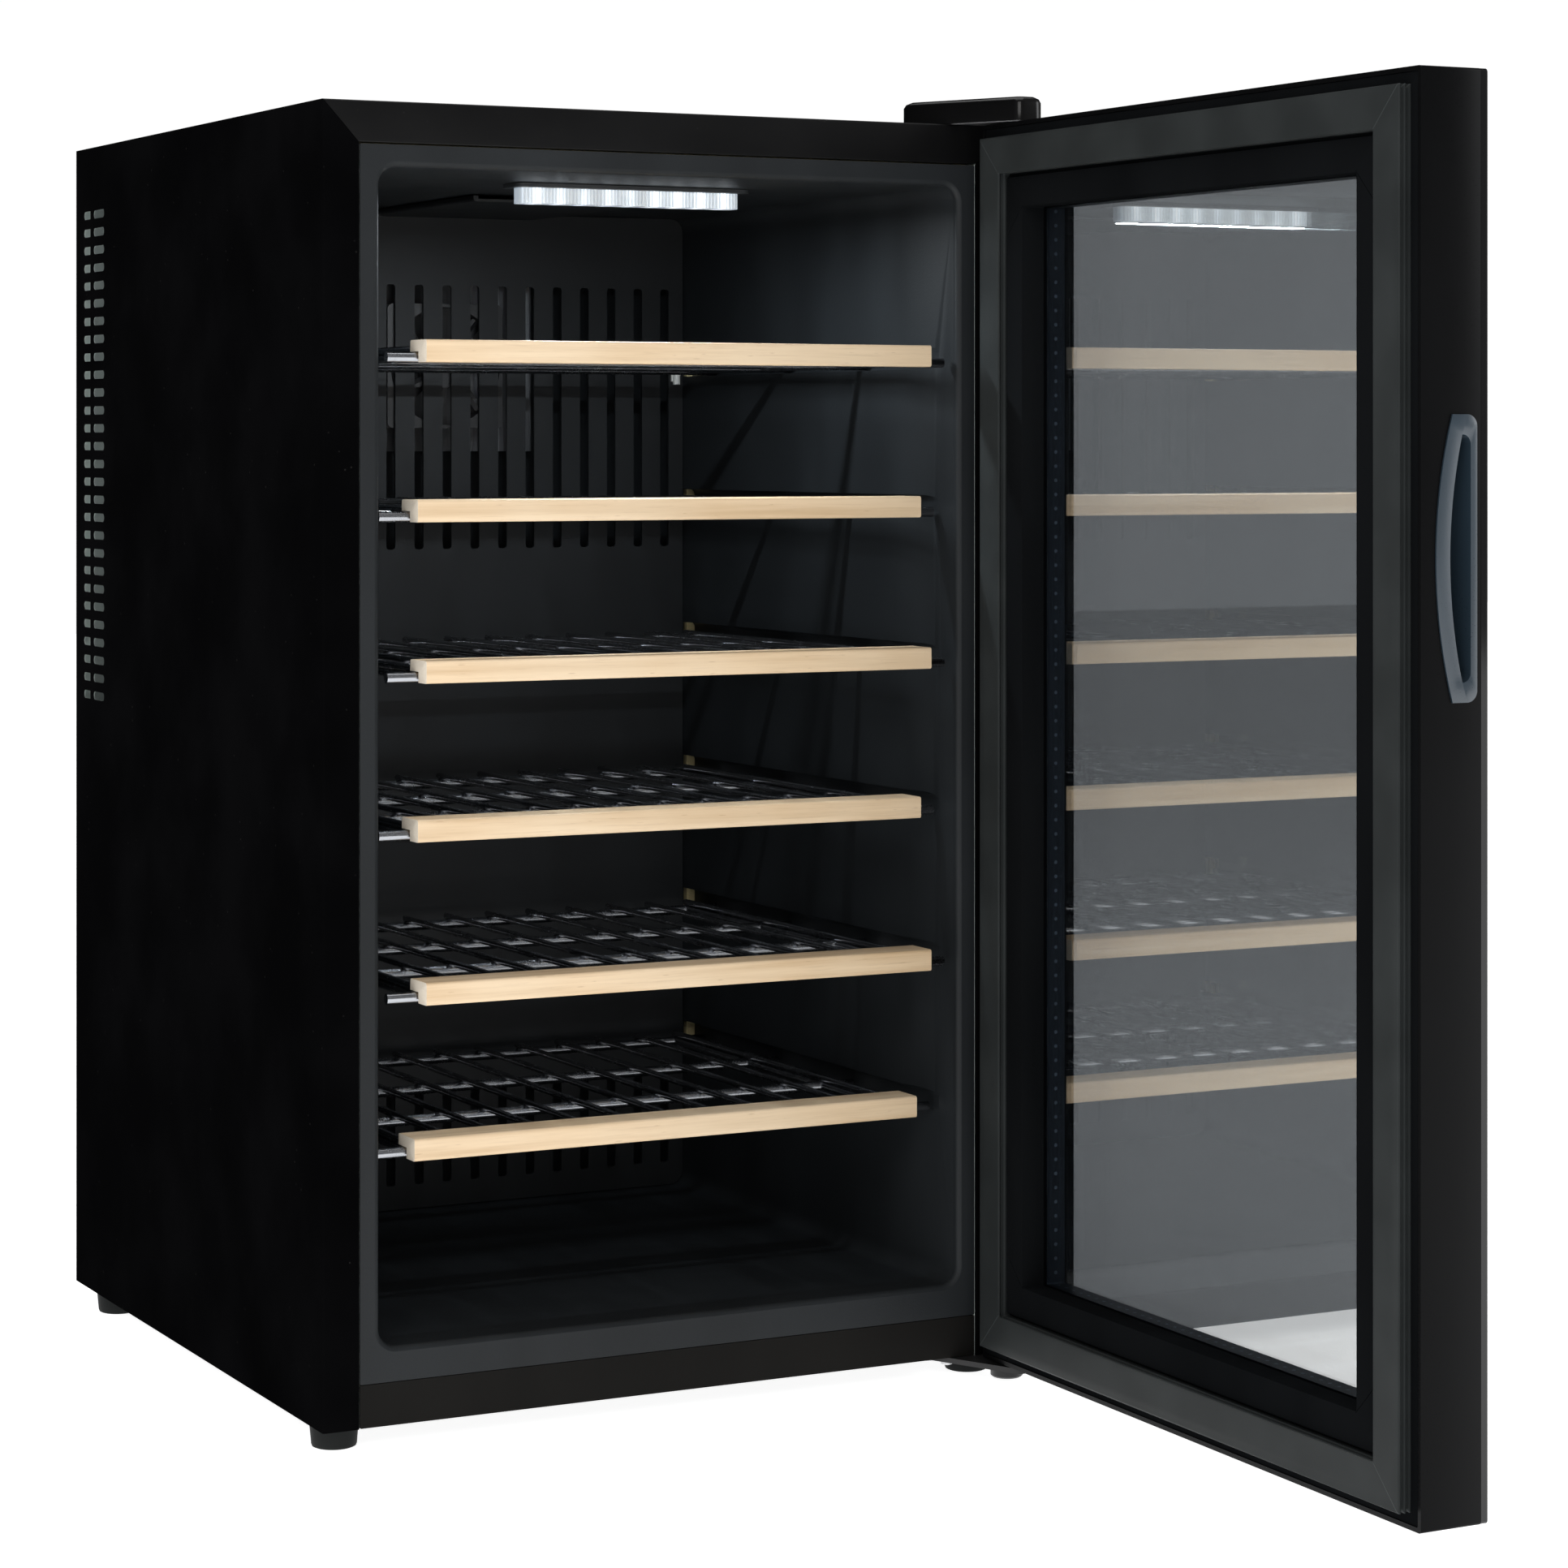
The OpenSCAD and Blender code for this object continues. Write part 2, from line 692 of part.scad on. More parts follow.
// The handle's outline in w and z: straight on the glass side, bowed on the other
module bow(w0, w1, h, r) {
    radius = 260;
    intersection() {
        translate([(w0 + w1) / 2, handle_z]) rounded_rect(w1 - w0, h, r);
        translate([w0 + radius, handle_z]) circle(radius, $fn = 180);
    }
}

// The pocket behind the handle's slot, grown all round
module handle_pocket(grow = 0) {
    along_x(cabinet_w - cup_depth - grow, cabinet_w + 2)
        bow(slot_w[0] - grow, slot_w[1] + grow, slot_h + 2 * grow, 5 + grow);
}

module hinge_holes(r) {
    for (z = [door_z - 1, door_z + door_h - 18.2]) translate([hinge_u, hinge_w, z]) cylinder(r = r, h = 19.2);
}

module door_frame() color([0.1, 0.1, 0.105]) door_open() {
    difference() {
        union() {
            door_ring(0, rim, 0, outer_pane_w - gap, 1.6, 1);
            door_ring(rim - eps, sight_edge - 2, web_w, outer_pane_w - gap, 1, 1);
        }
        handle_pocket(1.3);
        hinge_holes(bush_r);
    }
}

module door_liner() color([0.13, 0.14, 0.15]) door_open() {
    difference() {
        union() {
            door_ring(rim + gap, sight_edge, 0.6, 0.6 + rim);
            door_ring(sight_edge - rim, sight_edge, 0.6, inner_pane_w - gap);
            door_ring(bead_edge, sight_edge, -bead_t, 0.6 + eps, 1.2, 1);
        }
        for (x = [0, 1], z = [0, 1])
            translate([x == 0 ? sight_edge : cabinet_w - sight_edge, -bead_t - 0.6, z == 0 ? door_z + sight_edge : door_z + door_h - sight_edge])
                rotate([0, (x == z ? 45 : -45) + (x == 0 ? 180 : 0) + (x == z ? 0 : 0), 0])
                    translate([-1, 0, -0.2]) cube([24, 1.2, 0.4]);
    }
}

module door_foam() color([0.85, 0.8, 0.55]) door_open() {
    difference() {
        door_ring(rim + gap, glazing_edge, 0.6 + rim + gap, web_w - gap);
        door_ring(sight_edge - rim - 14, sight_edge, 0, inner_pane_w + gap);
        handle_pocket(1.6);
        hinge_holes(bush_r + 0.1);
    }
}

module door_gasket() color([0.16, 0.18, 0.19]) door_open() {
    inner = gasket_edge + gasket_w;
    difference() {
        door_ring(gasket_edge, inner, -gasket_t, 0.6 - eps, 2, 2);
        door_ring(gasket_edge - 1, gasket_edge + 2, -gasket_t + 3.4, -gasket_t + 4.8, 1, 1);
        door_ring(inner - 2, inner + 1, -gasket_t + 3.4, -gasket_t + 4.8, 1, 1);
    }
}

module door_outer_glass() color([0.05, 0.05, 0.055, 0.8]) door_open()
    door_plate(0, outer_pane_w, door_t, 2);

module glazing_inner_pane() color([0.3, 0.33, 0.35, 0.4]) door_open()
    door_plate(glazing_edge + 0.3, inner_pane_w, inner_pane_w + pane_t);

module glazing_middle_pane() color([0.3, 0.33, 0.35, 0.4]) door_open()
    door_plate(glazing_edge + 0.3, mid_pane_w, mid_pane_w + pane_t);

module glazing_spacer() color([0.12, 0.15, 0.2]) door_open()
    door_ring(glazing_edge + 2, sight_edge + 0.3, inner_pane_w + pane_t, mid_pane_w, 1, 1);

module handle_cup() color([0.3, 0.36, 0.42]) door_open() {
    difference() {
        union() {
            along_x(cabinet_w + eps, cabinet_w + 1.2) bow(handle_w[0], handle_w[1], handle_h, 6);
            along_x(cabinet_w - cup_depth - 1.1, cabinet_w + 0.5)
                bow(slot_w[0] - 1.1, slot_w[1] + 1.1, slot_h + 2.2, 6.1);
        }
        handle_pocket();
    }
}

module hinge_bushes() color([0.85, 0.85, 0.82]) door_open() {
    for (z = [door_z, door_z + door_h - 18])
        translate([hinge_u, hinge_w, z])
            difference() {
                cylinder(r = bush_r, h = 18);
                translate([0, 0, -1]) cylinder(r = pin_r + 0.06, h = 20);
            }
}

// ---------- shelves ----------

// The height of a rack's cross bars
function bar_z(i) = shelf_wood_top[i] - front_h + bar_d / 2 - 0.2;

module shelf_rack(i) color([0.2, 0.2, 0.21]) {
    front_y = shelf_front[i] + front_d - 6.6;
    back = shelf_front[i] + rack_back;
    wire_z = bar_z(i) + bar_d / 2 + wire_d / 2 - 0.4;
    bar_y = [front_y, front_y + 95, front_y + 195, back - bar_d / 2];
    for (y = bar_y)
        translate([0, y, bar_z(i)]) rotate([0, 90, 0]) cylinder(r = bar_d / 2, h = 2 * bar_half, center = true, $fn = 24);
    spread = 2 * side_bar_x / (wires - 1);
    for (k = [0:wires - 1])
        translate([-side_bar_x + k * spread, front_y + 8, wire_z]) rotate([-90, 0, 0])
            cylinder(r = wire_d / 2, h = back - front_y - 8, $fn = 20);
    for (x = [-1, 1])
        translate([x * side_bar_x, front_y, bar_z(i)]) rotate([-90, 0, 0])
            cylinder(r = wire_d / 2 + 0.5, h = back - front_y - bar_d / 2, $fn = 24);
}

// A beech front, rounded along its edges, with a rebate for the rack's front bar
module shelf_front(i) color([0.85, 0.72, 0.53]) {
    y0 = shelf_front[i];
    z1 = shelf_wood_top[i];
    difference() {
        along_x(-front_w / 2, front_w / 2)
            translate([y0 + front_d / 2, z1 - front_h / 2]) rounded_rect(front_d, front_h, 1.5);
        block([-front_w, y0 + front_d - 12, z1 - front_h - 1], [front_w, y0 + front_d + 1, z1 - front_h + bar_d + 0.1]);
    }
}

side_panel_left();
side_panel_right();
top_panel();
base_pan();
back_panel();
plinth_strip();
inner_liner();
foam_insulation();
compartment_tray();
rear_grille();
fan_guard();
hot_sink();
hot_fan_frame();
hot_fan_rotor();
peltier_module();
cold_block();
cold_sink();
cold_fan_frame();
cold_fan_rotor();
air_cover();
ceiling_channel();
lamp_housing();
lamp_board();
lamp_lens();
temperature_sensor();
power_supply();
control_board();
mains_inlet();
wiring_loom();
rear_screws();
feet();
top_hinge_plate();
top_hinge_pin();
top_hinge_cover();
bottom_hinge_plate();
bottom_hinge_pin();
hinge_screws();
door_frame();
door_liner();
door_foam();
door_gasket();
door_outer_glass();
glazing_inner_pane();
glazing_middle_pane();
glazing_spacer();
handle_cup();
hinge_bushes();
shelf_rack(0);  // shelf_rack_1
shelf_rack(1);  // shelf_rack_2
shelf_rack(2);  // shelf_rack_3
shelf_rack(3);  // shelf_rack_4
shelf_rack(4);  // shelf_rack_5
shelf_rack(5);  // shelf_rack_6
shelf_front(0);  // shelf_front_1
shelf_front(1);  // shelf_front_2
shelf_front(2);  // shelf_front_3
shelf_front(3);  // shelf_front_4
shelf_front(4);  // shelf_front_5
shelf_front(5);  // shelf_front_6
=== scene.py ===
"""The looks of a wine cooler: finishes, moulded details, studio light and camera around its fixed frame.

Lengths in the classes are in millimetres in the row frame, with x to the right, y to the back and z up
from the floor. The door's own frame is u from its hinge edge, w out of its inner face, then z.
"""

from __future__ import annotations

import json
import logging
import math
from dataclasses import dataclass, field
from enum import Enum
from typing import Iterable, Mapping, Sequence, Union

import bmesh
import bpy
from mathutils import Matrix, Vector

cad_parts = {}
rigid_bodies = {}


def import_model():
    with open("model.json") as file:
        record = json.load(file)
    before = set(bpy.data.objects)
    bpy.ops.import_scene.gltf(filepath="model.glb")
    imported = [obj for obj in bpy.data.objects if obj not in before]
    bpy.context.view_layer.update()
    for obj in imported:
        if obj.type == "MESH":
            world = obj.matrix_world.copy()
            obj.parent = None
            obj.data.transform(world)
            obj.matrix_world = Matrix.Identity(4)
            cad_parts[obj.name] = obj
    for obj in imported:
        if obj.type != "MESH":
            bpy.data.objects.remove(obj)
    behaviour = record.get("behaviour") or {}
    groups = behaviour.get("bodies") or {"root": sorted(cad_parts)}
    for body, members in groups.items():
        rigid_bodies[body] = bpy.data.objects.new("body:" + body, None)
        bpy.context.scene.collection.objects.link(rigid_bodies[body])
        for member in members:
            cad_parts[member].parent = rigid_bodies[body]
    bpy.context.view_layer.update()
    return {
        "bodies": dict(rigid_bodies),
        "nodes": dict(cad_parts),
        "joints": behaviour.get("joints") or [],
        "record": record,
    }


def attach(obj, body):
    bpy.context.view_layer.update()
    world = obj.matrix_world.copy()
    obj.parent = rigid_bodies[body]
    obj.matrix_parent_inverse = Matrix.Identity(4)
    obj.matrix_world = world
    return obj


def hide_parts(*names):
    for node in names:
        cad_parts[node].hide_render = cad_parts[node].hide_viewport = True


log = logging.getLogger("wine_cooler")

MM = 0.001
# The cabinet's inner faces, in a pale primer made bright as painted light seen through the vents, lie within
# these, in millimetres.
PALE_INSIDE_HALF_WIDTH = 214.35
PALE_INSIDE_FRONT = 0.7
PALE_INSIDE_BACK = 447.3
PALE_INSIDE_TOP = 737.3
Colour = tuple[float, float, float]
Point = tuple[float, float, float]
Number = Union[float, "Value"]


class Sheen(Enum):
    """How strongly a surface mirrors what is round it, as a specular level."""

    DEAD = 0.0
    FAINT = 0.05
    DULL = 0.16
    SOFT = 0.3
    PLAIN = 0.5


class Grain(Enum):
    """The direction that a brushed, drawn or grown surface runs in."""

    ACROSS = (0.04, 1.0, 1.0)
    DEEP = (1.0, 0.04, 1.0)
    UP = (1.0, 1.0, 0.04)


class Value:
    """A number that varies over a surface: a node's socket with arithmetic."""

    def __init__(self, graph: "Graph", socket: bpy.types.NodeSocket | None) -> None:
        """Wraps a socket.

        Args:
            graph: the node tree that owns the socket's node.
            socket: an output socket, or nothing behind a node that only takes values in.
        """
        self.graph = graph
        self.socket = socket

    def _math(self, operation: str, first: Number, second: Number = 0.0) -> "Value":
        """Adds a Math node.

        Args:
            operation: the Math node's operation.
            first: its first input.
            second: its second input.

        Returns:
            The node's result.
        """
        return self.graph.node("ShaderNodeMath", {"operation": operation}, {0: first, 1: second})

    def __add__(self, other: Number) -> "Value":
        """Adds."""
        return self._math("ADD", self, other)

    __radd__ = __add__

    def __sub__(self, other: Number) -> "Value":
        """Takes the other away."""
        return self._math("SUBTRACT", self, other)

    def __rsub__(self, other: Number) -> "Value":
        """Takes this away from the other."""
        return self._math("SUBTRACT", other, self)

    def __mul__(self, other: Number) -> "Value":
        """Multiplies."""
        return self._math("MULTIPLY", self, other)

    __rmul__ = __mul__

    def __truediv__(self, other: Number) -> "Value":
        """Divides by the other."""
        return self._math("DIVIDE", self, other)

    def __rtruediv__(self, other: Number) -> "Value":
        """Divides the other by this."""
        return self._math("DIVIDE", other, self)

    def __pow__(self, other: Number) -> "Value":
        """Raises to a power."""
        return self._math("POWER", self, other)

    def __mod__(self, other: Number) -> "Value":
        """Gives the part of the other that is left over, never below zero."""
        return self._math("FLOORED_MODULO", self, other)

    def __abs__(self) -> "Value":
        """Drops the sign."""
        return self._math("ABSOLUTE", self)

    def __gt__(self, other: Number) -> "Value":
        """Gives 1 where this is above the other, else 0."""
        return self._math("GREATER_THAN", self, other)

    def __lt__(self, other: Number) -> "Value":
        """Gives 1 where this is below the other, else 0."""
        return self._math("LESS_THAN", self, other)

    def least(self, other: Number) -> "Value":
        """Gives the smaller of the two."""
        return self._math("MINIMUM", self, other)

    def most(self, other: Number) -> "Value":
        """Gives the larger of the two."""
        return self._math("MAXIMUM", self, other)

    def ease(self, low: float, high: float) -> "Value":
        """Rises smoothly from 0 at low to 1 at high.

        Args:
            low: the value that gives 0.
            high: the value that gives 1, which may be the smaller of the two.

        Returns:
            The eased value.
        """
        return self.graph.node(
            "ShaderNodeMapRange",
            {"interpolation_type": "SMOOTHSTEP"},
            {0: self, 1: low, 2: high, 3: 0.0, 4: 1.0},
        )


class Graph:
    """A node tree of any kind, with the one method that adds its nodes."""

    def __init__(self, tree: bpy.types.NodeTree) -> None:
        """Takes over a tree and empties it.

        Args:
            tree: the tree of a material, a world or a modifier.
        """
        self.tree = tree
        self.tree.nodes.clear()

    def node(
        self,
        kind: str,
        settings: Mapping[str, object] | None = None,
        inputs: Mapping[Union[str, int], object] | None = None,
        output: Union[str, int] = 0,
    ) -> Value:
        """Adds any node.

        Args:
            kind: the node's type.
            settings: attributes to set first; "stops" holds a ramp's (position, colour) pairs.
            inputs: sockets by name or number, each a number, a colour or another node's output.
            output: the output socket to hand back.

        Returns:
            The chosen output.
        """
        made = self.tree.nodes.new(kind)
        for key, setting in (settings or {}).items():
            if key == "stops":
                self._stops(made.color_ramp, setting)
            else:
                setattr(made, key, setting)
        for key, given in (inputs or {}).items():
            socket = made.inputs[key]
            if isinstance(given, Value):
                self.tree.links.new(given.socket, socket)
            elif isinstance(given, tuple) and len(given) == 3 and socket.type == "RGBA":
                socket.default_value = (*given, 1.0)
            else:
                socket.default_value = given
        return Value(self, made.outputs[output] if made.outputs else None)

    @staticmethod
    def _stops(ramp: bpy.types.ColorRamp, stops: Sequence[tuple[float, Colour]]) -> None:
        """Sets a ramp's stops.

        Args:
            ramp: the ramp.
            stops: (position, colour) pairs in rising order.
        """
        while len(ramp.elements) > 1:
            ramp.elements.remove(ramp.elements[-1])
        for i, (position, colour) in enumerate(stops):
            stop = ramp.elements[0] if i == 0 else ramp.elements.new(position)
            stop.position = position
            stop.color = (*colour, 1.0)


class Shader(Graph):
    """One material's node tree."""

    def __init__(self, name: str) -> None:
        """Starts an empty material.

        Args:
            name: the material's name.
        """
        self.material = bpy.data.materials.new(name)
        self.material.use_nodes = True
        super().__init__(self.material.node_tree)

    def place(self, turned: Colour = (1.0, 1.0, 1.0), shift: Colour = (0.0, 0.0, 0.0)) -> Value:
        """Gives the point on the surface, fixed to its body, in metres.

        Args:
            turned: how much each axis is stretched.
            shift: what is added after the stretch.

        Returns:
            The point as a vector.
        """
        point = self.node("ShaderNodeTexCoord", output="Object")
        if turned == (1.0, 1.0, 1.0) and shift == (0.0, 0.0, 0.0):
            return point
        scaled = self.node("ShaderNodeVectorMath", {"operation": "MULTIPLY"}, {0: point, 1: turned})
        return self.node("ShaderNodeVectorMath", {"operation": "ADD"}, {0: scaled, 1: shift})

    def axis(self, name: str) -> Value:
        """Gives one coordinate of the point on the surface, in millimetres."""
        return self.node("ShaderNodeSeparateXYZ", {}, {0: self.place()}, output=name) * 1000.0

    def facing(self, name: str) -> Value:
        """Gives one part of the surface's own direction, from -1 to 1."""
        direction = self.node("ShaderNodeTexCoord", output="Normal")
        return self.node("ShaderNodeSeparateXYZ", {}, {0: direction}, output=name)

    def noise(
        self,
        size: float,
        detail: float = 2.0,
        rough: float = 0.5,
        stretch: Colour = (1.0, 1.0, 1.0),
        shift: float = 0.0,
    ) -> Value:
        """Adds soft noise.

        Args:
            size: the width of its patches in millimetres.
            detail: how many finer layers it has.
            rough: how strong they are.
            stretch: how much each axis is stretched first.
            shift: moves the pattern, so that two of them differ.

        Returns:
            A value round 0.5.
        """
        point = self.place(stretch, (shift, shift, shift))
        return self.node(
            "ShaderNodeTexNoise",
            {},
            {"Vector": point, "Scale": 1000.0 / size, "Detail": detail, "Roughness": rough},
        )

    def cells(
        self,
        size: float,
        feature: str = "F1",
        output: str = "Distance",
        stretch: Colour = (1.0, 1.0, 1.0),
    ) -> Value:
        """Adds a cell pattern.

        Args:
            size: the width of a cell in millimetres.
            feature: what is measured in a cell.
            output: the output to give.
            stretch: how much each axis is stretched first.

        Returns:
            The distance or the colour of the cell.
        """
        return self.node(
            "ShaderNodeTexVoronoi",
            {"feature": feature},
            {"Vector": self.place(stretch), "Scale": 1000.0 / size},
            output,
        )

    def mix(self, share: Number, first: object, second: object) -> Value:
        """Mixes two colours.

        Args:
            share: 0 for the first and 1 for the second.
            first: a colour or an output that holds one.
            second: the same.

        Returns:
            The mixed colour.
        """
        return self.node(
            "ShaderNodeMix",
            {"data_type": "RGBA", "clamp_factor": True},
            {0: share, 6: first, 7: second},
            output=2,
        )

    def ramp(self, value: Value, stops: Sequence[tuple[float, Colour]]) -> Value:
        """Turns a value into a colour.

        Args:
            value: what picks the colour.
            stops: (position, colour) pairs.

        Returns:
            The colour.
        """
        return self.node("ShaderNodeValToRGB", {"stops": stops}, {0: value})

    def bump(self, height: Value, depth: float, strength: float = 1.0, under: Value | None = None) -> Value:
        """Raises the surface where the height is above zero.

        Args:
            height: from 0 to 1.
            depth: what 1 means, in millimetres.
            strength: how strong it is.
            under: another bump that this one is laid on.

        Returns:
            The new direction of the surface.
        """
        inputs: dict[Union[str, int], object] = {
            "Height": height,
            "Distance": depth * MM,
            "Strength": strength,
        }
        if under is not None:
            inputs["Normal"] = under
        return self.node("ShaderNodeBump", {}, inputs)

    def surface(self, **sockets: object) -> Value:
        """Adds the main surface.

        Args:
            sockets: its sockets, with underscores for spaces.

        Returns:
            The shader's output.
        """
        return self.node("ShaderNodeBsdfPrincipled", {}, {k.replace("_", " "): v for k, v in sockets.items()})

    def close(self, surface: Value) -> bpy.types.Material:
        """Joins a surface to the material's output.

        Args:
            surface: the shader to show.

        Returns:
            The finished material.
        """
        self.node("ShaderNodeOutputMaterial", {}, {"Surface": surface})
        return self.material


@dataclass(frozen=True)
class DoorPlace:
    """Where the open door stands, and its outline."""

    x: float = 194.5
    y: float = -7.6
    width: float = 430.0
    low: float = 12.8
    high: float = 737.2
    thick: float = 40.7

    def world(self, u: float, w: float, z: float) -> Vector:
        """Turns a point of the door's own frame into the row frame.

        Args:
            u: distance from the hinge edge.
            w: distance out of the inner face.
            z: height.

        Returns:
            The point in metres.
        """
        return Vector((self.x + w, self.y - u, z)) * MM

    def edge(self, shader: Shader) -> tuple[Value, Value]:
        """Gives how far a point is inside the door's outline.

        Args:
            shader: the shader that needs it.

        Returns:
            The distance to the nearer upright edge, and to the nearer level edge.
        """
        u = self.y - shader.axis("Y")
        z = shader.axis("Z")
        return u.least(self.width - u), (z - self.low).least(self.high - z)


DOOR = DoorPlace()


@dataclass(frozen=True)
class Paint:
    """Baked enamel on sheet steel, with a fine orange peel and a pale primer inside, partly painted light
    seen through the vents.
    """

    name: str
    colour: Colour
    rough: float = 0.42
    sheen: Sheen = Sheen.DULL
    peel: float = 0.012
    primer_and_through_light: Colour | None = None

    def material(self) -> bpy.types.Material:
        """Builds the material."""
        s = Shader(self.name)
        cloud = s.noise(90.0, 3.0)
        fine = s.noise(1.6, 2.0, 0.6)
        speck = s.cells(7.0).ease(0.10, 0.03) * s.noise(24.0, 1.0, shift=3.0).ease(0.52, 0.62)
        colour = s.mix(cloud.ease(0.3, 0.75), self.colour, tuple(c * 1.5 + 0.0006 for c in self.colour))
        colour = s.mix(speck * 0.05, colour, (0.25, 0.24, 0.23))
        rough = self.rough + (cloud - 0.5) * 0.12 + (s.noise(14.0, 4.0) - 0.5) * 0.08
        # Inner faces take the pale primer, made bright as painted light that stands for daylight seen through
        # the vents.
        if self.primer_and_through_light is not None:
            across = abs(s.axis("X")) < PALE_INSIDE_HALF_WIDTH
            along = (s.axis("Y") > PALE_INSIDE_FRONT) * (s.axis("Y") < PALE_INSIDE_BACK)
            inside = across * along * (s.axis("Z") < PALE_INSIDE_TOP)
            colour = s.mix(inside, colour, self.primer_and_through_light)
            rough = rough + inside * 0.2
        return s.close(
            s.surface(
                Base_Color=colour,
                Roughness=rough,
                Specular_IOR_Level=self.sheen.value,
                Normal=s.bump(fine, self.peel),
            )
        )


@dataclass(frozen=True)
class Moulding:
    """Moulded plastic with a spark-eroded grain and slight flow marks."""

    name: str
    colour: Colour
    rough: float = 0.5
    sheen: Sheen = Sheen.SOFT
    grain: float = 0.9
    depth: float = 0.03
    coat: float = 0.0
    crown: float = 0.0

    def material(self) -> bpy.types.Material:
        """Builds the material."""
        s = Shader(self.name)
        flow = s.noise(60.0, 2.0, stretch=(1.0, 1.0, 0.35))
        grain = s.noise(self.grain, 3.0, 0.65)
        pits = s.cells(self.grain * 1.3)
        colour = s.mix(
            flow.ease(0.3, 0.7),
            tuple(c * 0.86 for c in self.colour),
            tuple(c * 1.16 for c in self.colour),
        )
        colour = s.mix((grain - 0.5) * 0.35, colour, tuple(min(1.0, c * 1.7) for c in self.colour))
        rough = self.rough + (flow - 0.5) * 0.1 + (grain - 0.5) * 0.14
        under = s.bump(pits.ease(0.1, 0.5), self.depth * 0.5)
        if self.crown:
            middle = (s.axis("X") - (DOOR.x + DOOR.thick / 2)) / (DOOR.thick / 2)
            under = s.bump(1.0 - middle * middle, self.crown, under=under)
        return s.close(
            s.surface(
                Base_Color=colour,
                Roughness=rough,
                Specular_IOR_Level=self.sheen.value,
                Coat_Weight=self.coat,
                Coat_Roughness=0.12,
                Normal=s.bump(grain, self.depth, under=under),
            )
        )


@dataclass(frozen=True)
class BareMetal:
    """Rolled, drawn or plated metal with fine lines along its grain."""

    name: str
    colour: Colour
    rough: float = 0.3
    grain: Grain = Grain.UP
    lines: float = 0.6
    dull: float = 0.25

    def material(self) -> bpy.types.Material:
        """Builds the material."""
        s = Shader(self.name)
        lines = s.noise(self.lines, 3.0, 0.7, self.grain.value)
        stain = s.noise(28.0, 4.0, 0.6)
        colour = s.mix(stain.ease(0.35, 0.75) * self.dull, self.colour, tuple(c * 0.55 for c in self.colour))
        colour = s.mix((lines - 0.5) * 0.5, colour, tuple(min(1.0, c * 1.2) for c in self.colour))
        rough = self.rough + (lines - 0.5) * 0.22 + (stain - 0.5) * 0.2
        return s.close(
            s.surface(Base_Color=colour, Roughness=rough, Metallic=1.0, Normal=s.bump(lines, 0.012))
        )


@dataclass(frozen=True)
class Zinc:
    """Hot-dipped zinc with its frosted spangle."""

    name: str = "galvanised_sheet"
    colour: Colour = (0.56, 0.58, 0.59)

    def material(self) -> bpy.types.Material:
        """Builds the material."""
        s = Shader(self.name)
        tint = s.node("ShaderNodeSeparateXYZ", {}, {0: s.cells(11.0, output="Color")}, output="X")
        frost = s.noise(3.0, 4.0, 0.7)
        colour = s.mix(tint, tuple(c * 0.7 for c in self.colour), tuple(c * 1.15 for c in self.colour))
        return s.close(
            s.surface(
                Base_Color=colour,
                Metallic=0.85,
                Roughness=0.34 + tint * 0.22 + (frost - 0.5) * 0.15,
                Normal=s.bump(frost, 0.01),
            )
        )


@dataclass(frozen=True)
class Beech:
    """Steamed beech under a satin lacquer: long grain, short dark ray flecks, and end faces painted paler as
    a painted highlight.
    """

    name: str
    shift: float
    pale: Colour = (0.82, 0.63, 0.42)
    warm: Colour = (0.66, 0.47, 0.28)
    fleck: Colour = (0.42, 0.26, 0.14)

    def material(self) -> bpy.types.Material:
        """Builds the material."""
        s = Shader(self.name)
        along = (0.035, 1.0, 1.0)
        rings = s.noise(6.5, 3.0, 0.55, along, self.shift)
        streak = s.noise(1.1, 4.0, 0.7, (0.03, 1.0, 1.0), self.shift)
        tone = s.noise(110.0, 2.0, 0.5, (1.0, 1.0, 1.0), self.shift)
        patches = s.noise(9.0, 2.0, shift=self.shift).ease(0.42, 0.6)
        flecks = s.cells(3.4, stretch=(0.16, 1.5, 1.5)).ease(0.16, 0.05) * patches
        ends = abs(s.facing("X")).ease(0.6, 0.9)
        colour = s.mix(rings.ease(0.32, 0.7), self.pale, self.warm)
        colour = s.mix(tone.ease(0.35, 0.7) * 0.45, colour, (0.86, 0.71, 0.52))
        colour = s.mix(streak.ease(0.5, 0.78) * 0.3, colour, self.fleck)
        colour = s.mix(flecks * 0.45, colour, self.fleck)
        pores = s.cells(0.9).ease(0.35, 0.1)
        # The end faces are painted paler: a painted highlight standing in for the light they catch.
        colour = s.mix(ends * 0.85, colour, (0.97, 0.89, 0.76))
        colour = s.mix(ends * pores * 0.3, colour, (0.55, 0.36, 0.2))
        height = streak * 0.7 + rings * 0.3 - flecks * 0.2
        return s.close(
            s.surface(
                Base_Color=colour,
                Roughness=0.5 + (streak - 0.5) * 0.25 + ends * 0.2,
                Specular_IOR_Level=0.35,
                Coat_Weight=0.12 - ends * 0.1,
                Coat_Roughness=0.3,
                Normal=s.bump(height, 0.05, 0.7),
            )
        )


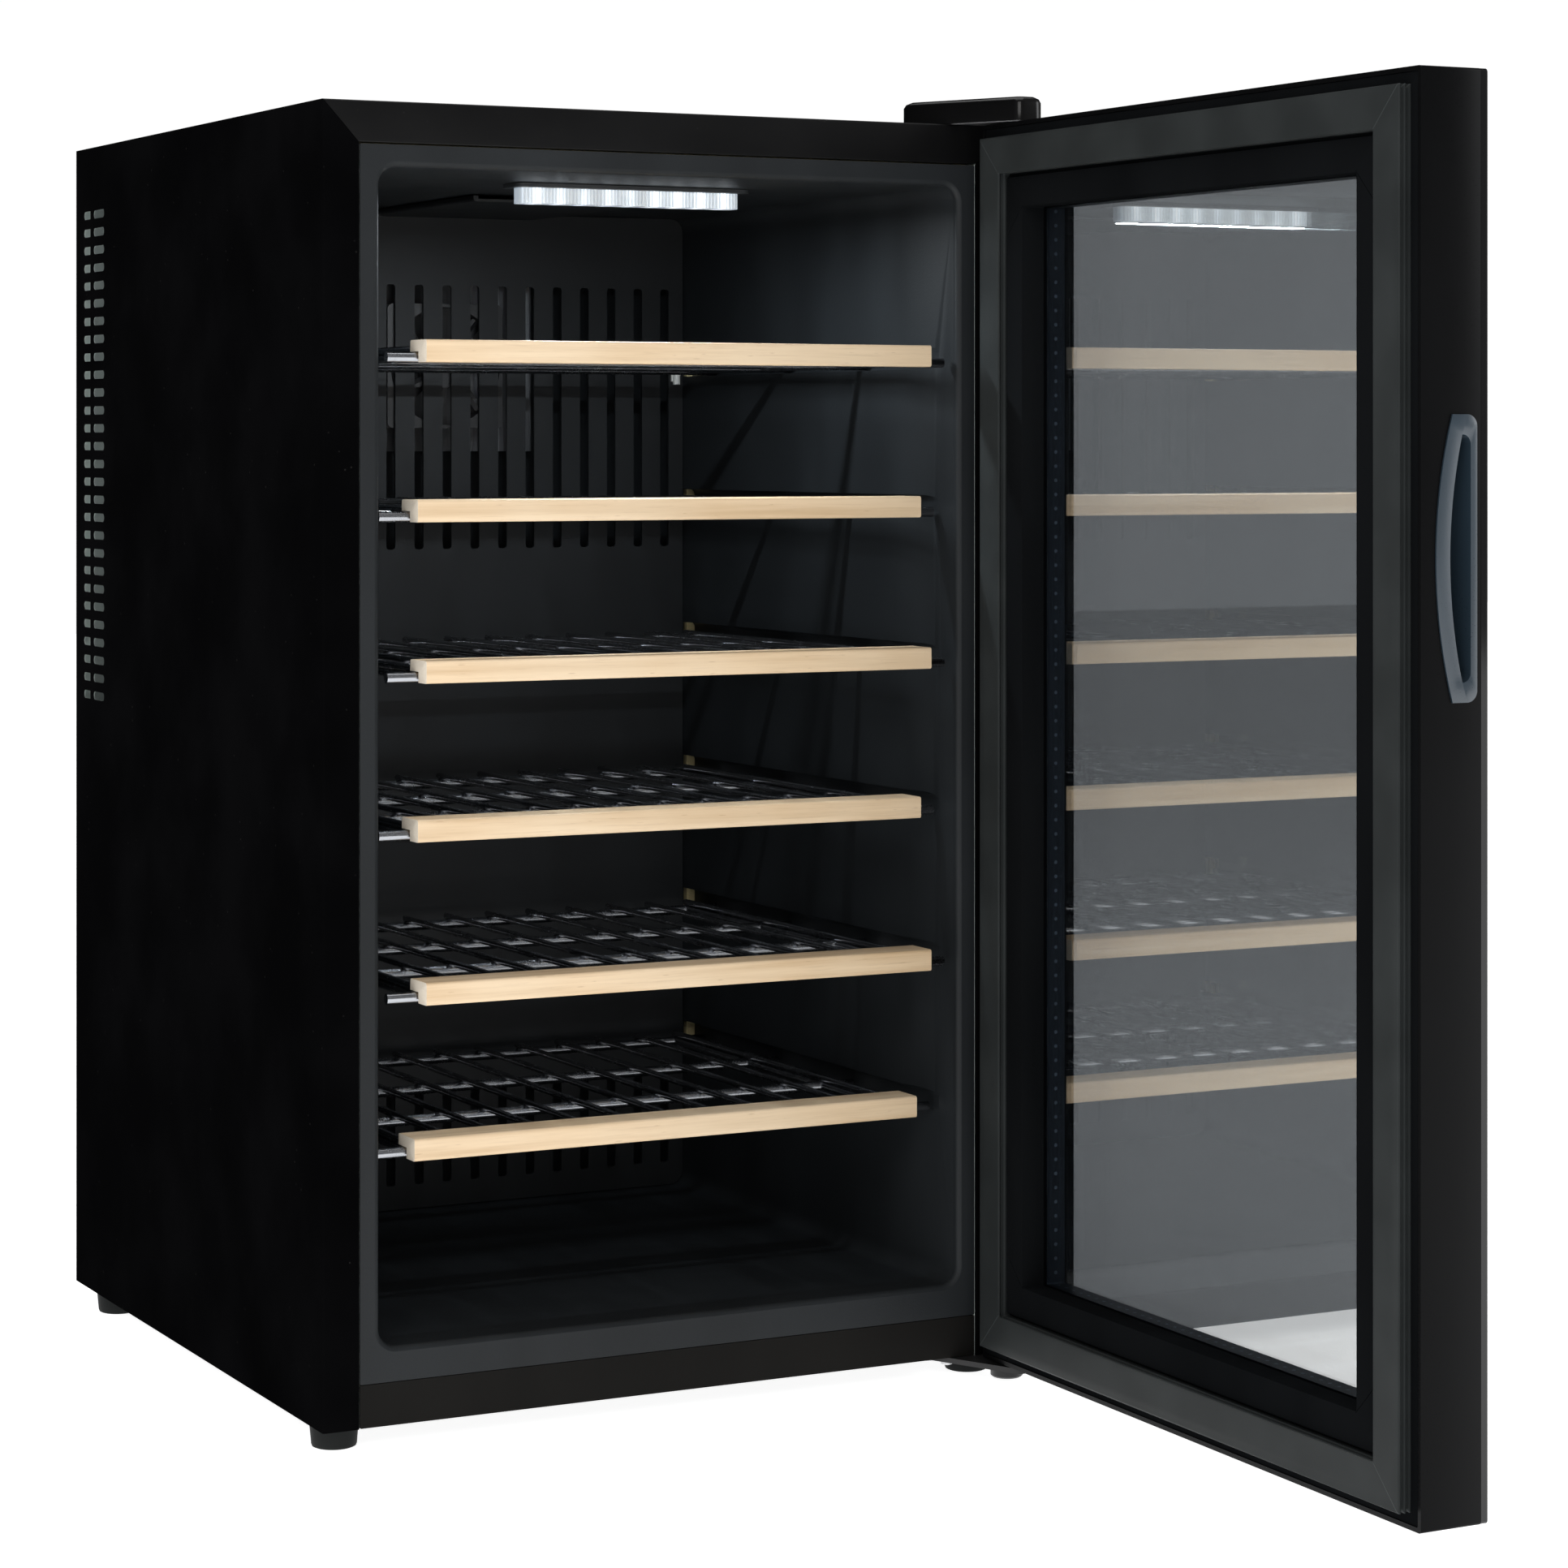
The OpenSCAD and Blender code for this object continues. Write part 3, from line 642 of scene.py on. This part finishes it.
@dataclass(frozen=True)
class Glazing:
    """Float glass, clear or with a metal-oxide coat that mirrors part of the light."""

    name: str
    tint: Colour
    mirror: float = 0.0
    haze: float = 0.01
    border: float = 0.0

    def material(self) -> bpy.types.Material:
        """Builds the material."""
        s = Shader(self.name)
        smear = s.noise(70.0, 4.0, 0.6, (1.0, 1.0, 0.5))
        pane = s.surface(
            Base_Color=self.tint,
            Roughness=self.haze + smear.ease(0.6, 0.85) * 0.012,
            Metallic=self.mirror + (smear - 0.5) * 0.03 if self.mirror else 0.0,
            Transmission_Weight=1.0,
            IOR=1.5,
        )
        if not self.border:
            return s.close(pane)
        side, level = DOOR.edge(s)
        printed = side.least(level).ease(self.border + 0.4, self.border)
        enamel = s.surface(
            Base_Color=(0.004, 0.004, 0.0045),
            Roughness=0.06 + smear.ease(0.5, 0.9) * 0.05,
            Specular_IOR_Level=0.35,
            Coat_Weight=0.0,
        )
        return s.close(s.node("ShaderNodeMixShader", {}, {0: printed, 1: pane, 2: enamel}))


@dataclass(frozen=True)
class Rubber:
    """Soft extruded vinyl for the door seal, with mitre welds in its corners."""

    name: str
    colour: Colour
    rough: float = 0.62
    sheen: Sheen = Sheen.FAINT
    welded: bool = False

    def material(self) -> bpy.types.Material:
        """Builds the material."""
        s = Shader(self.name)
        skin = s.noise(0.7, 3.0, 0.7)
        wave = s.noise(45.0, 2.0)
        colour = s.mix(wave.ease(0.3, 0.75), self.colour, tuple(c * 1.35 for c in self.colour))
        height = skin * 0.6 + wave * 0.4
        rough = self.rough + (skin - 0.5) * 0.18
        if self.welded:
            side, level = DOOR.edge(s)
            weld = abs(side - level).ease(0.55, 0.1) * (side < 31.0)
            colour = s.mix(weld * 0.7, colour, tuple(c * 2.6 for c in self.colour))
            height = height + weld * 2.0
        return s.close(
            s.surface(
                Base_Color=colour,
                Roughness=rough,
                Specular_IOR_Level=self.sheen.value,
                Normal=s.bump(height, 0.05, 0.8),
            )
        )


@dataclass(frozen=True)
class Foam:
    """Rigid foam with fine closed cells."""

    name: str = "rigid_foam"
    colour: Colour = (0.78, 0.66, 0.36)

    def material(self) -> bpy.types.Material:
        """Builds the material."""
        s = Shader(self.name)
        cell = s.cells(1.2)
        colour = s.mix(s.noise(30.0, 3.0).ease(0.3, 0.7), self.colour, tuple(c * 0.8 for c in self.colour))
        return s.close(s.surface(Base_Color=colour, Roughness=0.9, Normal=s.bump(cell, 0.3)))


@dataclass(frozen=True)
class LampGlow:
    """A frosted strip over a row of light sources, bright over each and streaked by its ribs."""

    name: str = "lamp_strip"
    middle: float = 3.0
    pitch: float = 15.0
    strength: float = 1.25

    def material(self) -> bpy.types.Material:
        """Builds the material."""
        s = Shader(self.name)
        x = s.axis("X")
        near = abs(((x - self.middle) / self.pitch + 0.5) % 1.0 - 0.5)
        spot = 1.0 / (1.0 + (near * 7.0) ** 2.0)
        ribs = abs((x / 2.2) % 1.0 - 0.5).ease(0.1, 0.42)
        dim = s.noise(30.0, 2.0, shift=1.5).ease(0.25, 0.7)
        glow = (0.10 + spot * 0.9) * (0.35 + ribs * 0.65) * (0.45 + dim * 0.9)
        stops = [
            (0.0, (0.05, 0.06, 0.07)),
            (0.25, (0.30, 0.36, 0.42)),
            (0.6, (0.75, 0.86, 0.95)),
            (1.0, (1.0, 1.0, 1.0)),
        ]
        colour = s.ramp(glow, stops)
        return s.close(
            s.surface(
                Base_Color=(0.72, 0.76, 0.8),
                Roughness=0.28,
                Emission_Color=colour,
                Emission_Strength=self.strength,
                Normal=s.bump(ribs, 0.25),
            )
        )


@dataclass(frozen=True)
class CircuitBoard:
    """Green solder mask over copper tracks, with darker parts standing on it."""

    name: str = "solder_mask"
    front: float = 392.9

    def material(self) -> bpy.types.Material:
        """Builds the material."""
        s = Shader(self.name)
        track = s.cells(4.5, "DISTANCE_TO_EDGE", stretch=(1.0, 0.01, 1.0)).ease(0.06, 0.03)
        part = s.axis("Y") > self.front
        mask = s.mix(track, (0.010, 0.085, 0.035), (0.03, 0.17, 0.06))
        chips = s.mix(s.noise(20.0, 0.0).ease(0.48, 0.5), (0.012, 0.012, 0.014), (0.30, 0.29, 0.27))
        colour = s.mix(part, mask, chips)
        return s.close(
            s.surface(Base_Color=colour, Roughness=0.35 + part * 0.2, Normal=s.bump(track, 0.04))
        )


@dataclass(frozen=True)
class PerforatedBar:
    """The blue-black bar between two panes, with a row of breathing holes along its middle."""

    name: str = "spacer_bar"
    pitch: float = 8.2

    def material(self) -> bpy.types.Material:
        """Builds the material."""
        s = Shader(self.name)
        depth = s.axis("X") - (DOOR.x + 22.0)
        side, level = DOOR.edge(s)
        along_level = ((s.axis("Y") / self.pitch) % 1.0 - 0.5) * self.pitch
        along_side = ((s.axis("Z") / self.pitch) % 1.0 - 0.5) * self.pitch
        upright = side < level
        run = along_level * (1.0 - upright) + along_side * upright
        hole = ((run * run) + (depth * depth)) < 1.1
        brushed = s.noise(0.8, 3.0, 0.7, (1.0, 0.06, 0.06))
        colour = s.mix(brushed.ease(0.3, 0.7), (0.018, 0.026, 0.042), (0.035, 0.050, 0.075))
        colour = s.mix(hole, colour, (0.20, 0.27, 0.36))
        return s.close(
            s.surface(
                Base_Color=colour,
                Metallic=0.6,
                Roughness=0.42 + (brushed - 0.5) * 0.2,
                Normal=s.bump(1.0 - hole, 0.3),
            )
        )


@dataclass(frozen=True)
class LeadSleeve:
    """Coloured wire insulation, a different colour on each run."""

    name: str = "lead_sleeve"

    def material(self) -> bpy.types.Material:
        """Builds the material."""
        s = Shader(self.name)
        swirl = s.noise(2.5, 2.0)
        run = s.axis("X") > -60.3
        colour = s.mix(run, (0.35, 0.02, 0.015), (0.02, 0.02, 0.022))
        colour = s.mix(swirl.ease(0.4, 0.7) * 0.3, colour, (0.5, 0.08, 0.06))
        return s.close(s.surface(Base_Color=colour, Roughness=0.45, Normal=s.bump(swirl, 0.08)))


def dress(
    node: bpy.types.Object,
    material: bpy.types.Material,
    smooth: float = 32.0,
    soft: float = 0.0,
) -> None:
    """Gives a frame node its finish, smooth curves and slightly broken edges.

    Args:
        node: the frame's node.
        material: its finish.
        smooth: faces that meet at less than this many degrees read as one curve.
        soft: the width of the broken edges in millimetres, or 0 for none.
    """
    node.data.materials.clear()
    node.data.materials.append(material)
    weld = node.modifiers.new("weld", "WELD")
    weld.merge_threshold = 2e-6
    if soft:
        bevel = node.modifiers.new("edge", "BEVEL")
        bevel.width = soft * MM
        bevel.segments = 2
        bevel.limit_method = "ANGLE"
        bevel.angle_limit = math.radians(50.0)
        bevel.use_clamp_overlap = True
        bevel.harden_normals = False
    shade_smooth(node, smooth)


def shade_smooth(piece: bpy.types.Object, angle: float) -> None:
    """Smooths curves and keeps real edges sharp, through a modifier so that the mesh stays as it is.

    Args:
        piece: the piece.
        angle: the largest angle that is smoothed, in degrees.
    """
    piece.data.polygons.foreach_set("use_smooth", [True] * len(piece.data.polygons))
    group = smoothing_group()
    step = piece.modifiers.new("smooth", "NODES")
    step.node_group = group
    step[group.interface.items_tree["Angle"].identifier] = math.radians(angle)


def smoothing_group() -> bpy.types.NodeTree:
    """Gives the shared node group that marks edges sharp by their angle.

    Returns:
        The group, made once.
    """
    name = "smooth_by_angle"
    if name in bpy.data.node_groups:
        return bpy.data.node_groups[name]
    group = bpy.data.node_groups.new(name, "GeometryNodeTree")
    group.is_modifier = True
    group.interface.new_socket("Geometry", in_out="INPUT", socket_type="NodeSocketGeometry")
    group.interface.new_socket("Angle", in_out="INPUT", socket_type="NodeSocketFloat")
    group.interface.new_socket("Geometry", in_out="OUTPUT", socket_type="NodeSocketGeometry")
    graph = Graph(group)
    shape = graph.node("NodeGroupInput", output="Geometry")
    limit = graph.node("NodeGroupInput", output="Angle")
    bend = graph.node("GeometryNodeInputMeshEdgeAngle", output="Unsigned Angle")
    greater = {"data_type": "FLOAT", "operation": "GREATER_THAN"}
    sharp = graph.node("FunctionNodeCompare", greater, {0: bend, 1: limit})
    shade = "GeometryNodeSetShadeSmooth"
    shape = graph.node(shade, {"domain": "FACE"}, {"Geometry": shape, "Shade Smooth": True})
    shape = graph.node(
        shade,
        {"domain": "EDGE"},
        {"Geometry": shape, "Selection": sharp, "Shade Smooth": False},
    )
    graph.node("NodeGroupOutput", {}, {"Geometry": shape})
    return group


def make_mesh(
    name: str,
    points: Sequence[Vector],
    faces: Sequence[Sequence[int]],
    angle: float = 35.0,
) -> bpy.types.Object:
    """Makes a piece from points in metres.

    Args:
        name: the piece's name.
        points: its corners.
        faces: lists of corner numbers.
        angle: the largest angle that is smoothed, in degrees.

    Returns:
        The new object.
    """
    mesh = bpy.data.meshes.new(name)
    mesh.from_pydata([tuple(p) for p in points], [], [list(f) for f in faces])
    work = bmesh.new()
    work.from_mesh(mesh)
    bmesh.ops.recalc_face_normals(work, faces=work.faces)
    work.to_mesh(mesh)
    work.free()
    piece = bpy.data.objects.new(name, mesh)
    bpy.context.scene.collection.objects.link(piece)
    shade_smooth(piece, angle)
    return piece


@dataclass
class SubAssembly:
    """A group of frame nodes and pieces that ride on one body."""

    nodes: Mapping[str, bpy.types.Object]
    body: str = "cabinet"

    def wear(
        self,
        material: bpy.types.Material,
        *names: str,
        smooth: float = 32.0,
        soft: float = 0.0,
    ) -> None:
        """Dresses several frame nodes in one finish.

        Args:
            material: the finish.
            names: the nodes.
            smooth: the angle below which faces read as one curve, in degrees.
            soft: the width of the broken edges in millimetres.
        """
        for name in names:
            dress(self.nodes[name], material, smooth, soft)
            log.info("%s wears %s", name, material.name)

    def add(
        self,
        piece: bpy.types.Object,
        material: bpy.types.Material,
        slot: str,
        replaces: Iterable[str] = (),
    ) -> None:
        """Puts a made piece on the body.

        Args:
            piece: the piece.
            material: its finish.
            slot: the record's material slot for the piece; not used.
            replaces: the frame nodes that it stands for.
        """
        piece.data.materials.append(material)
        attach(piece, self.body)
        if replaces:
            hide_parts(*replaces)
        log.info("%s made for %s", piece.name, self.body)


@dataclass
class Cabinet(SubAssembly):
    """The outer case, its plinth and feet."""

    black: Colour = (0.0016, 0.0016, 0.0018)

    def build(self) -> None:
        """Dresses the case."""
        # The side panels' inner primer is made bright as painted light seen through the side vents.
        side = Paint("black_enamel", self.black, 0.45, Sheen.DEAD, primer_and_through_light=(0.80, 0.88, 0.84)).material()
        top = Paint("black_enamel_top", self.black, 0.4, Sheen.DULL).material()
        dark = Paint("black_primer", (0.010, 0.010, 0.0105), 0.6, Sheen.DULL, 0.03).material()
        self.wear(side, "side_panel_left", "side_panel_right")
        self.wear(top, "top_panel")
        self.wear(dark, "back_panel", "base_pan")
        plinth = Moulding("plinth_black", (0.0082, 0.0078, 0.0072), 0.55, Sheen.FAINT, 0.8, 0.03).material()
        self.wear(plinth, "plinth_strip")
        self.wear(Rubber("foot_rubber", (0.012, 0.013, 0.013), 0.6).material(), "feet", smooth=40.0)
        self.wear(BareMetal("zinc_screw", (0.45, 0.45, 0.46), 0.35).material(), "rear_screws", "hinge_screws")


@dataclass
class ColdCompartment(SubAssembly):
    """The moulded liner, its air cover, and what is cold behind it."""

    def build(self) -> None:
        """Dresses the compartment."""
        liner = Moulding("liner_plastic", (0.0142, 0.0162, 0.0180), 0.46, Sheen.DULL, 1.1, 0.04).material()
        cover = Moulding("cover_plastic", (0.010, 0.0112, 0.0124), 0.5, Sheen.SOFT, 0.9, 0.03).material()
        self.wear(liner, "inner_liner", smooth=38.0)
        self.wear(cover, "air_cover", "ceiling_channel")
        self.wear(Foam().material(), "foam_insulation")
        sensor = Moulding("sensor_white", (0.66, 0.67, 0.64), 0.4, Sheen.PLAIN).material()
        self.wear(sensor, "temperature_sensor")
        fins = BareMetal("cast_fins", (0.30, 0.305, 0.315), 0.42, Grain.UP).material()
        self.wear(fins, "cold_sink", "cold_block")
        fan = Moulding("fan_black", (0.012, 0.012, 0.013), 0.38, Sheen.PLAIN, 0.7, 0.02).material()
        self.wear(fan, "cold_fan_frame", "cold_fan_rotor")


@dataclass
class Lamp(SubAssembly):
    """The strip of light in the ceiling."""

    def build(self) -> None:
        """Dresses the lamp and lights the compartment."""
        self.wear(Moulding("lamp_tray", (0.03, 0.033, 0.036), 0.4, Sheen.SOFT).material(), "lamp_housing")
        self.wear(CircuitBoard("lamp_mask", 900.0).material(), "lamp_board")
        self.wear(LampGlow().material(), "lamp_lens")


@dataclass
class RearCompartment(SubAssembly):
    """The hot side: tray, heat sink, fan, grille, supply and leads."""

    def build(self) -> None:
        """Dresses the rear compartment."""
        self.wear(Zinc().material(), "compartment_tray")
        fins = BareMetal("drawn_fins", (0.70, 0.71, 0.73), 0.26, Grain.UP).material()
        self.wear(fins, "hot_sink")
        fan = Moulding("hot_fan_black", (0.010, 0.010, 0.011), 0.36, Sheen.PLAIN, 0.7, 0.02).material()
        self.wear(fan, "hot_fan_frame", "hot_fan_rotor")
        # The grille's inner primer is paled as painted light seen through the vents.
        primer_and_through_light = (0.34, 0.38, 0.37)
        grille = Paint("grille_black", (0.006, 0.006, 0.0065), 0.5, Sheen.SOFT, 0.02, primer_and_through_light).material()
        self.wear(grille, "rear_grille", "fan_guard")
        ceramic = Moulding("ceramic_white", (0.80, 0.79, 0.74), 0.7, Sheen.SOFT, 0.5).material()
        self.wear(ceramic, "peltier_module")
        self.wear(Zinc("supply_case", (0.60, 0.61, 0.60)).material(), "power_supply")
        self.wear(CircuitBoard().material(), "control_board")
        self.wear(Moulding("inlet_black", (0.010, 0.010, 0.010), 0.35, Sheen.PLAIN).material(), "mains_inlet")
        self.wear(LeadSleeve().material(), "wiring_loom")


@dataclass
class Hinges(SubAssembly):
    """The hinge plates, pins and the moulded cover on top."""

    def build(self) -> None:
        """Dresses the hinges."""
        steel = BareMetal("plated_steel", (0.48, 0.48, 0.50), 0.32, Grain.ACROSS).material()
        self.wear(steel, "top_hinge_plate", "top_hinge_pin")
        black = Paint("hinge_black", (0.012, 0.012, 0.0125), 0.4, Sheen.SOFT, 0.02).material()
        self.wear(black, "bottom_hinge_plate", "bottom_hinge_pin")
        cover = Moulding("cover_gloss", (0.0016, 0.0016, 0.0018), 0.2, Sheen.SOFT, 1.0, 0.008).material()
        self.wear(cover, "top_hinge_cover", smooth=50.0)


@dataclass
class Door(SubAssembly):
    """The door: frame, glazing, seal and handle."""

    body: str = "door"
    seal_edge: float = 8.5
    seal_profile: Sequence[tuple[float, float]] = field(
        default_factory=lambda: (
            (0.25, 0.35), (0.2, -0.5), (0.75, -0.8), (1.5, -1.1), (1.75, -1.6), (1.3, -2.1),
            (0.4, -2.5), (0.1, -3.0), (0.15, -3.5), (0.7, -3.9), (1.45, -4.2), (1.65, -4.7),
            (1.2, -5.2), (0.4, -5.6), (0.1, -6.2), (0.2, -6.8), (0.6, -7.25), (1.3, -7.45),
            (6.5, -7.45), (11.5, -7.45), (16.5, -7.45), (20.7, -7.45), (21.4, -7.3), (21.8, -6.8),
            (21.8, -6.1), (21.2, -5.6), (20.3, -5.2), (20.1, -4.6), (20.5, -4.0), (21.4, -3.6),
            (21.85, -2.9), (21.7, -1.8), (21.9, -0.6), (21.9, 0.35),
        )
    )

    def seal(self) -> bpy.types.Object:
        """Builds the bellows seal: one profile carried round the door with mitred corners.

        Returns:
            The seal.
        """
        points: list[Vector] = []
        faces: list[list[int]] = []
        count = len(self.seal_profile)
        for across, out in self.seal_profile:
            d = self.seal_edge + across
            low, high = DOOR.low + d, DOOR.high - d
            for u, z in ((d, low), (DOOR.width - d, low), (DOOR.width - d, high), (d, high)):
                points.append(DOOR.world(u, out, z))
        for i in range(count):
            after = (i + 1) % count
            for corner in range(4):
                turn = (corner + 1) % 4
                faces.append([i * 4 + corner, i * 4 + turn, after * 4 + turn, after * 4 + corner])
        return make_mesh("door_seal", points, faces, 48.0)

    def build(self) -> None:
        """Dresses the door."""
        black = (0.0032, 0.0033, 0.0036)
        frame = Moulding("door_black", black, 0.3, Sheen.FAINT, 1.2, 0.012, crown=2.0).material()
        self.wear(frame, "door_frame")
        liner = Moulding("door_liner_black", (0.0052, 0.0057, 0.0063), 0.2, Sheen.DEAD, 0.9, 0.012).material()
        self.wear(liner, "door_liner", soft=0.5)
        self.wear(Foam().material(), "door_foam")
        seal = Rubber("seal_vinyl", (0.0200, 0.0224, 0.0228), 0.45, Sheen.FAINT, welded=True).material()
        dress(self.nodes["door_gasket"], seal)
        self.add(self.seal(), seal, "gasket_rubber", ["door_gasket"])
        self.wear(Glazing("outer_pane", (0.31, 0.315, 0.335), border=47.0).material(), "door_outer_glass")
        self.wear(Glazing("mirrored_pane", (0.84, 0.86, 0.86), 0.2).material(), "glazing_inner_pane")
        self.wear(Glazing("clear_pane", (0.90, 0.93, 0.93)).material(), "glazing_middle_pane")
        self.wear(PerforatedBar().material(), "glazing_spacer")
        blue_grey = (0.018, 0.030, 0.042)
        handle = Moulding("handle_blue_grey", blue_grey, 0.3, Sheen.PLAIN, 1.0, 0.015, 0.3).material()
        self.wear(handle, "handle_cup", soft=0.3)
        self.wear(Moulding("bush_white", (0.7, 0.7, 0.67), 0.4).material(), "hinge_bushes")


@dataclass
class Shelf(SubAssembly):
    """One sliding shelf: a wire rack behind a beech front."""

    number: int = 1

    def build(self, wire: bpy.types.Material) -> None:
        """Dresses the shelf.

        Args:
            wire: the finish of the rack, shared by all shelves.
        """
        self.wear(wire, f"shelf_rack_{self.number}", smooth=40.0, soft=1.2)
        board = Beech(f"beech_{self.number}", 0.37 * self.number).material()
        self.wear(board, f"shelf_front_{self.number}", soft=0.9)


@dataclass
class Studio:
    """The floor, the light and the camera."""

    camera_at: Point = (-0.985, -2.043, 0.552)
    turned: float = -27.24
    lens: float = 91.64
    lift: float = -0.2191
    glow: float = 1.45
    white: float = 1.02
    ambient: float = 0.6

    def camera(self) -> None:
        """Places the camera, level, with a fixed upward shift of the view."""
        data = bpy.data.cameras.new("camera")
        data.lens, data.sensor_width, data.shift_y = self.lens, 36.0, self.lift
        data.clip_start, data.clip_end = 0.05, 60.0
        view = bpy.data.objects.new("camera", data)
        view.location = self.camera_at
        view.rotation_euler = (math.radians(90.0), 0.0, math.radians(self.turned))
        bpy.context.scene.collection.objects.link(view)
        bpy.context.scene.camera = view

    def floor(self) -> None:
        """Lays a large pale floor."""
        size = 9.0
        points = [Vector((x * size, y * size, 0.0)) for x, y in ((-1, -1), (1, -1), (1, 1), (-1, 1))]
        floor = make_mesh("floor", points, [[0, 1, 2, 3]])
        s = Shader("pale_floor")
        tone = s.mix(s.noise(700.0, 3.0).ease(0.3, 0.7), (0.86, 0.86, 0.86), (0.88, 0.88, 0.88))
        through = s.node("ShaderNodeLightPath", output="Is Transmission Ray")
        mirrored = s.node("ShaderNodeLightPath", output="Is Glossy Ray")
        glow = s.mix(mirrored, (0.62, 0.62, 0.62), (1.0, 1.0, 1.0))
        sheet = s.surface(
            Base_Color=tone,
            Roughness=0.8,
            Specular_IOR_Level=0.1,
            Emission_Color=s.mix(through, glow, (0.15, 0.15, 0.15)),
            Emission_Strength=self.glow,
        )
        floor.data.materials.append(s.close(sheet))

    def lamp(
        self,
        name: str,
        at: Point,
        aim: Point,
        size: tuple[float, float],
        watts: float,
        colour: Colour,
    ) -> bpy.types.Object:
        """Hangs a soft light.

        Args:
            name: its name.
            at: where it hangs, in metres.
            aim: the point that it faces.
            size: its width and height in metres.
            watts: its power.
            colour: its colour.

        Returns:
            The light.
        """
        data = bpy.data.lights.new(name, "AREA")
        data.shape, data.size, data.size_y = "RECTANGLE", size[0], size[1]
        data.energy, data.color = watts, colour
        light = bpy.data.objects.new(name, data)
        light.location = at
        light.rotation_euler = (Vector(at) - Vector(aim)).to_track_quat("Z", "Y").to_euler()
        bpy.context.scene.collection.objects.link(light)
        return light

    def surroundings(self) -> None:
        """Sets a white backdrop that glossy rays see as a dark room with a bright front right wall."""
        world = bpy.data.worlds.new("backdrop")
        bpy.context.scene.world = world
        world.use_nodes = True
        graph = Graph(world.node_tree)
        heading = graph.node("ShaderNodeTexCoord", output="Generated")
        right = graph.node("ShaderNodeSeparateXYZ", {}, {0: heading}, "X")
        back = graph.node("ShaderNodeSeparateXYZ", {}, {0: heading}, "Y")
        room = back.ease(0.3, -0.2) * 0.2 + back.ease(0.2, -0.3) * right.ease(0.55, 0.95) * 0.8 + 0.03
        bounced = graph.node("ShaderNodeLightPath", output="Is Glossy Ray")
        through = graph.node("ShaderNodeLightPath", output="Is Transmission Ray")
        seen = through.most(graph.node("ShaderNodeLightPath", output="Is Camera Ray"))
        unseen = bounced * room + (1.0 - bounced) * self.ambient
        strength = seen * self.white + (1.0 - seen) * unseen
        light = graph.node("ShaderNodeBackground", {}, {"Color": (1.0, 1.0, 1.0), "Strength": strength})
        graph.node("ShaderNodeOutputWorld", {}, {"Surface": light})

    def build(self) -> None:
        """Builds the studio."""
        self.floor()
        self.surroundings()
        middle = (0.0, 0.1, 0.4)
        self.lamp("key", (-1.6, -2.6, 2.1), middle, (1.8, 1.4), 26.0, (1.0, 0.99, 0.97))
        self.lamp("fill", (2.6, -1.6, 1.5), middle, (1.2, 1.8), 22.0, (0.96, 0.98, 1.0))
        self.lamp("top", (0.2, 0.4, 3.0), middle, (2.2, 2.2), 30.0, (1.0, 1.0, 1.0))
        under_lens, floor_below = (0.003, 0.077, 0.6875), (0.003, 0.077, 0.0)
        strip = self.lamp("strip", under_lens, floor_below, (0.136, 0.010), 1.1, (0.86, 0.94, 1.0))
        strip.visible_camera = False
        bpy.context.scene.view_settings.view_transform = "Standard"
        bpy.context.scene.view_settings.look = "None"


def main() -> None:
    """Builds everything in order."""
    logging.basicConfig(level=logging.INFO, format="%(message)s")
    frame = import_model()
    nodes = frame["nodes"]
    studio = Studio()
    studio.camera()
    Cabinet(nodes).build()
    ColdCompartment(nodes).build()
    Lamp(nodes).build()
    RearCompartment(nodes).build()
    Hinges(nodes).build()
    Door(nodes).build()
    wire = BareMetal("dark_chrome", (0.30, 0.31, 0.33), 0.24, Grain.DEEP, 0.5).material()
    for number in range(1, 7):
        Shelf(nodes, f"shelf_{number}", number).build(wire)
    studio.build()
    log.info("built")


if __name__ == "__main__":
    main()
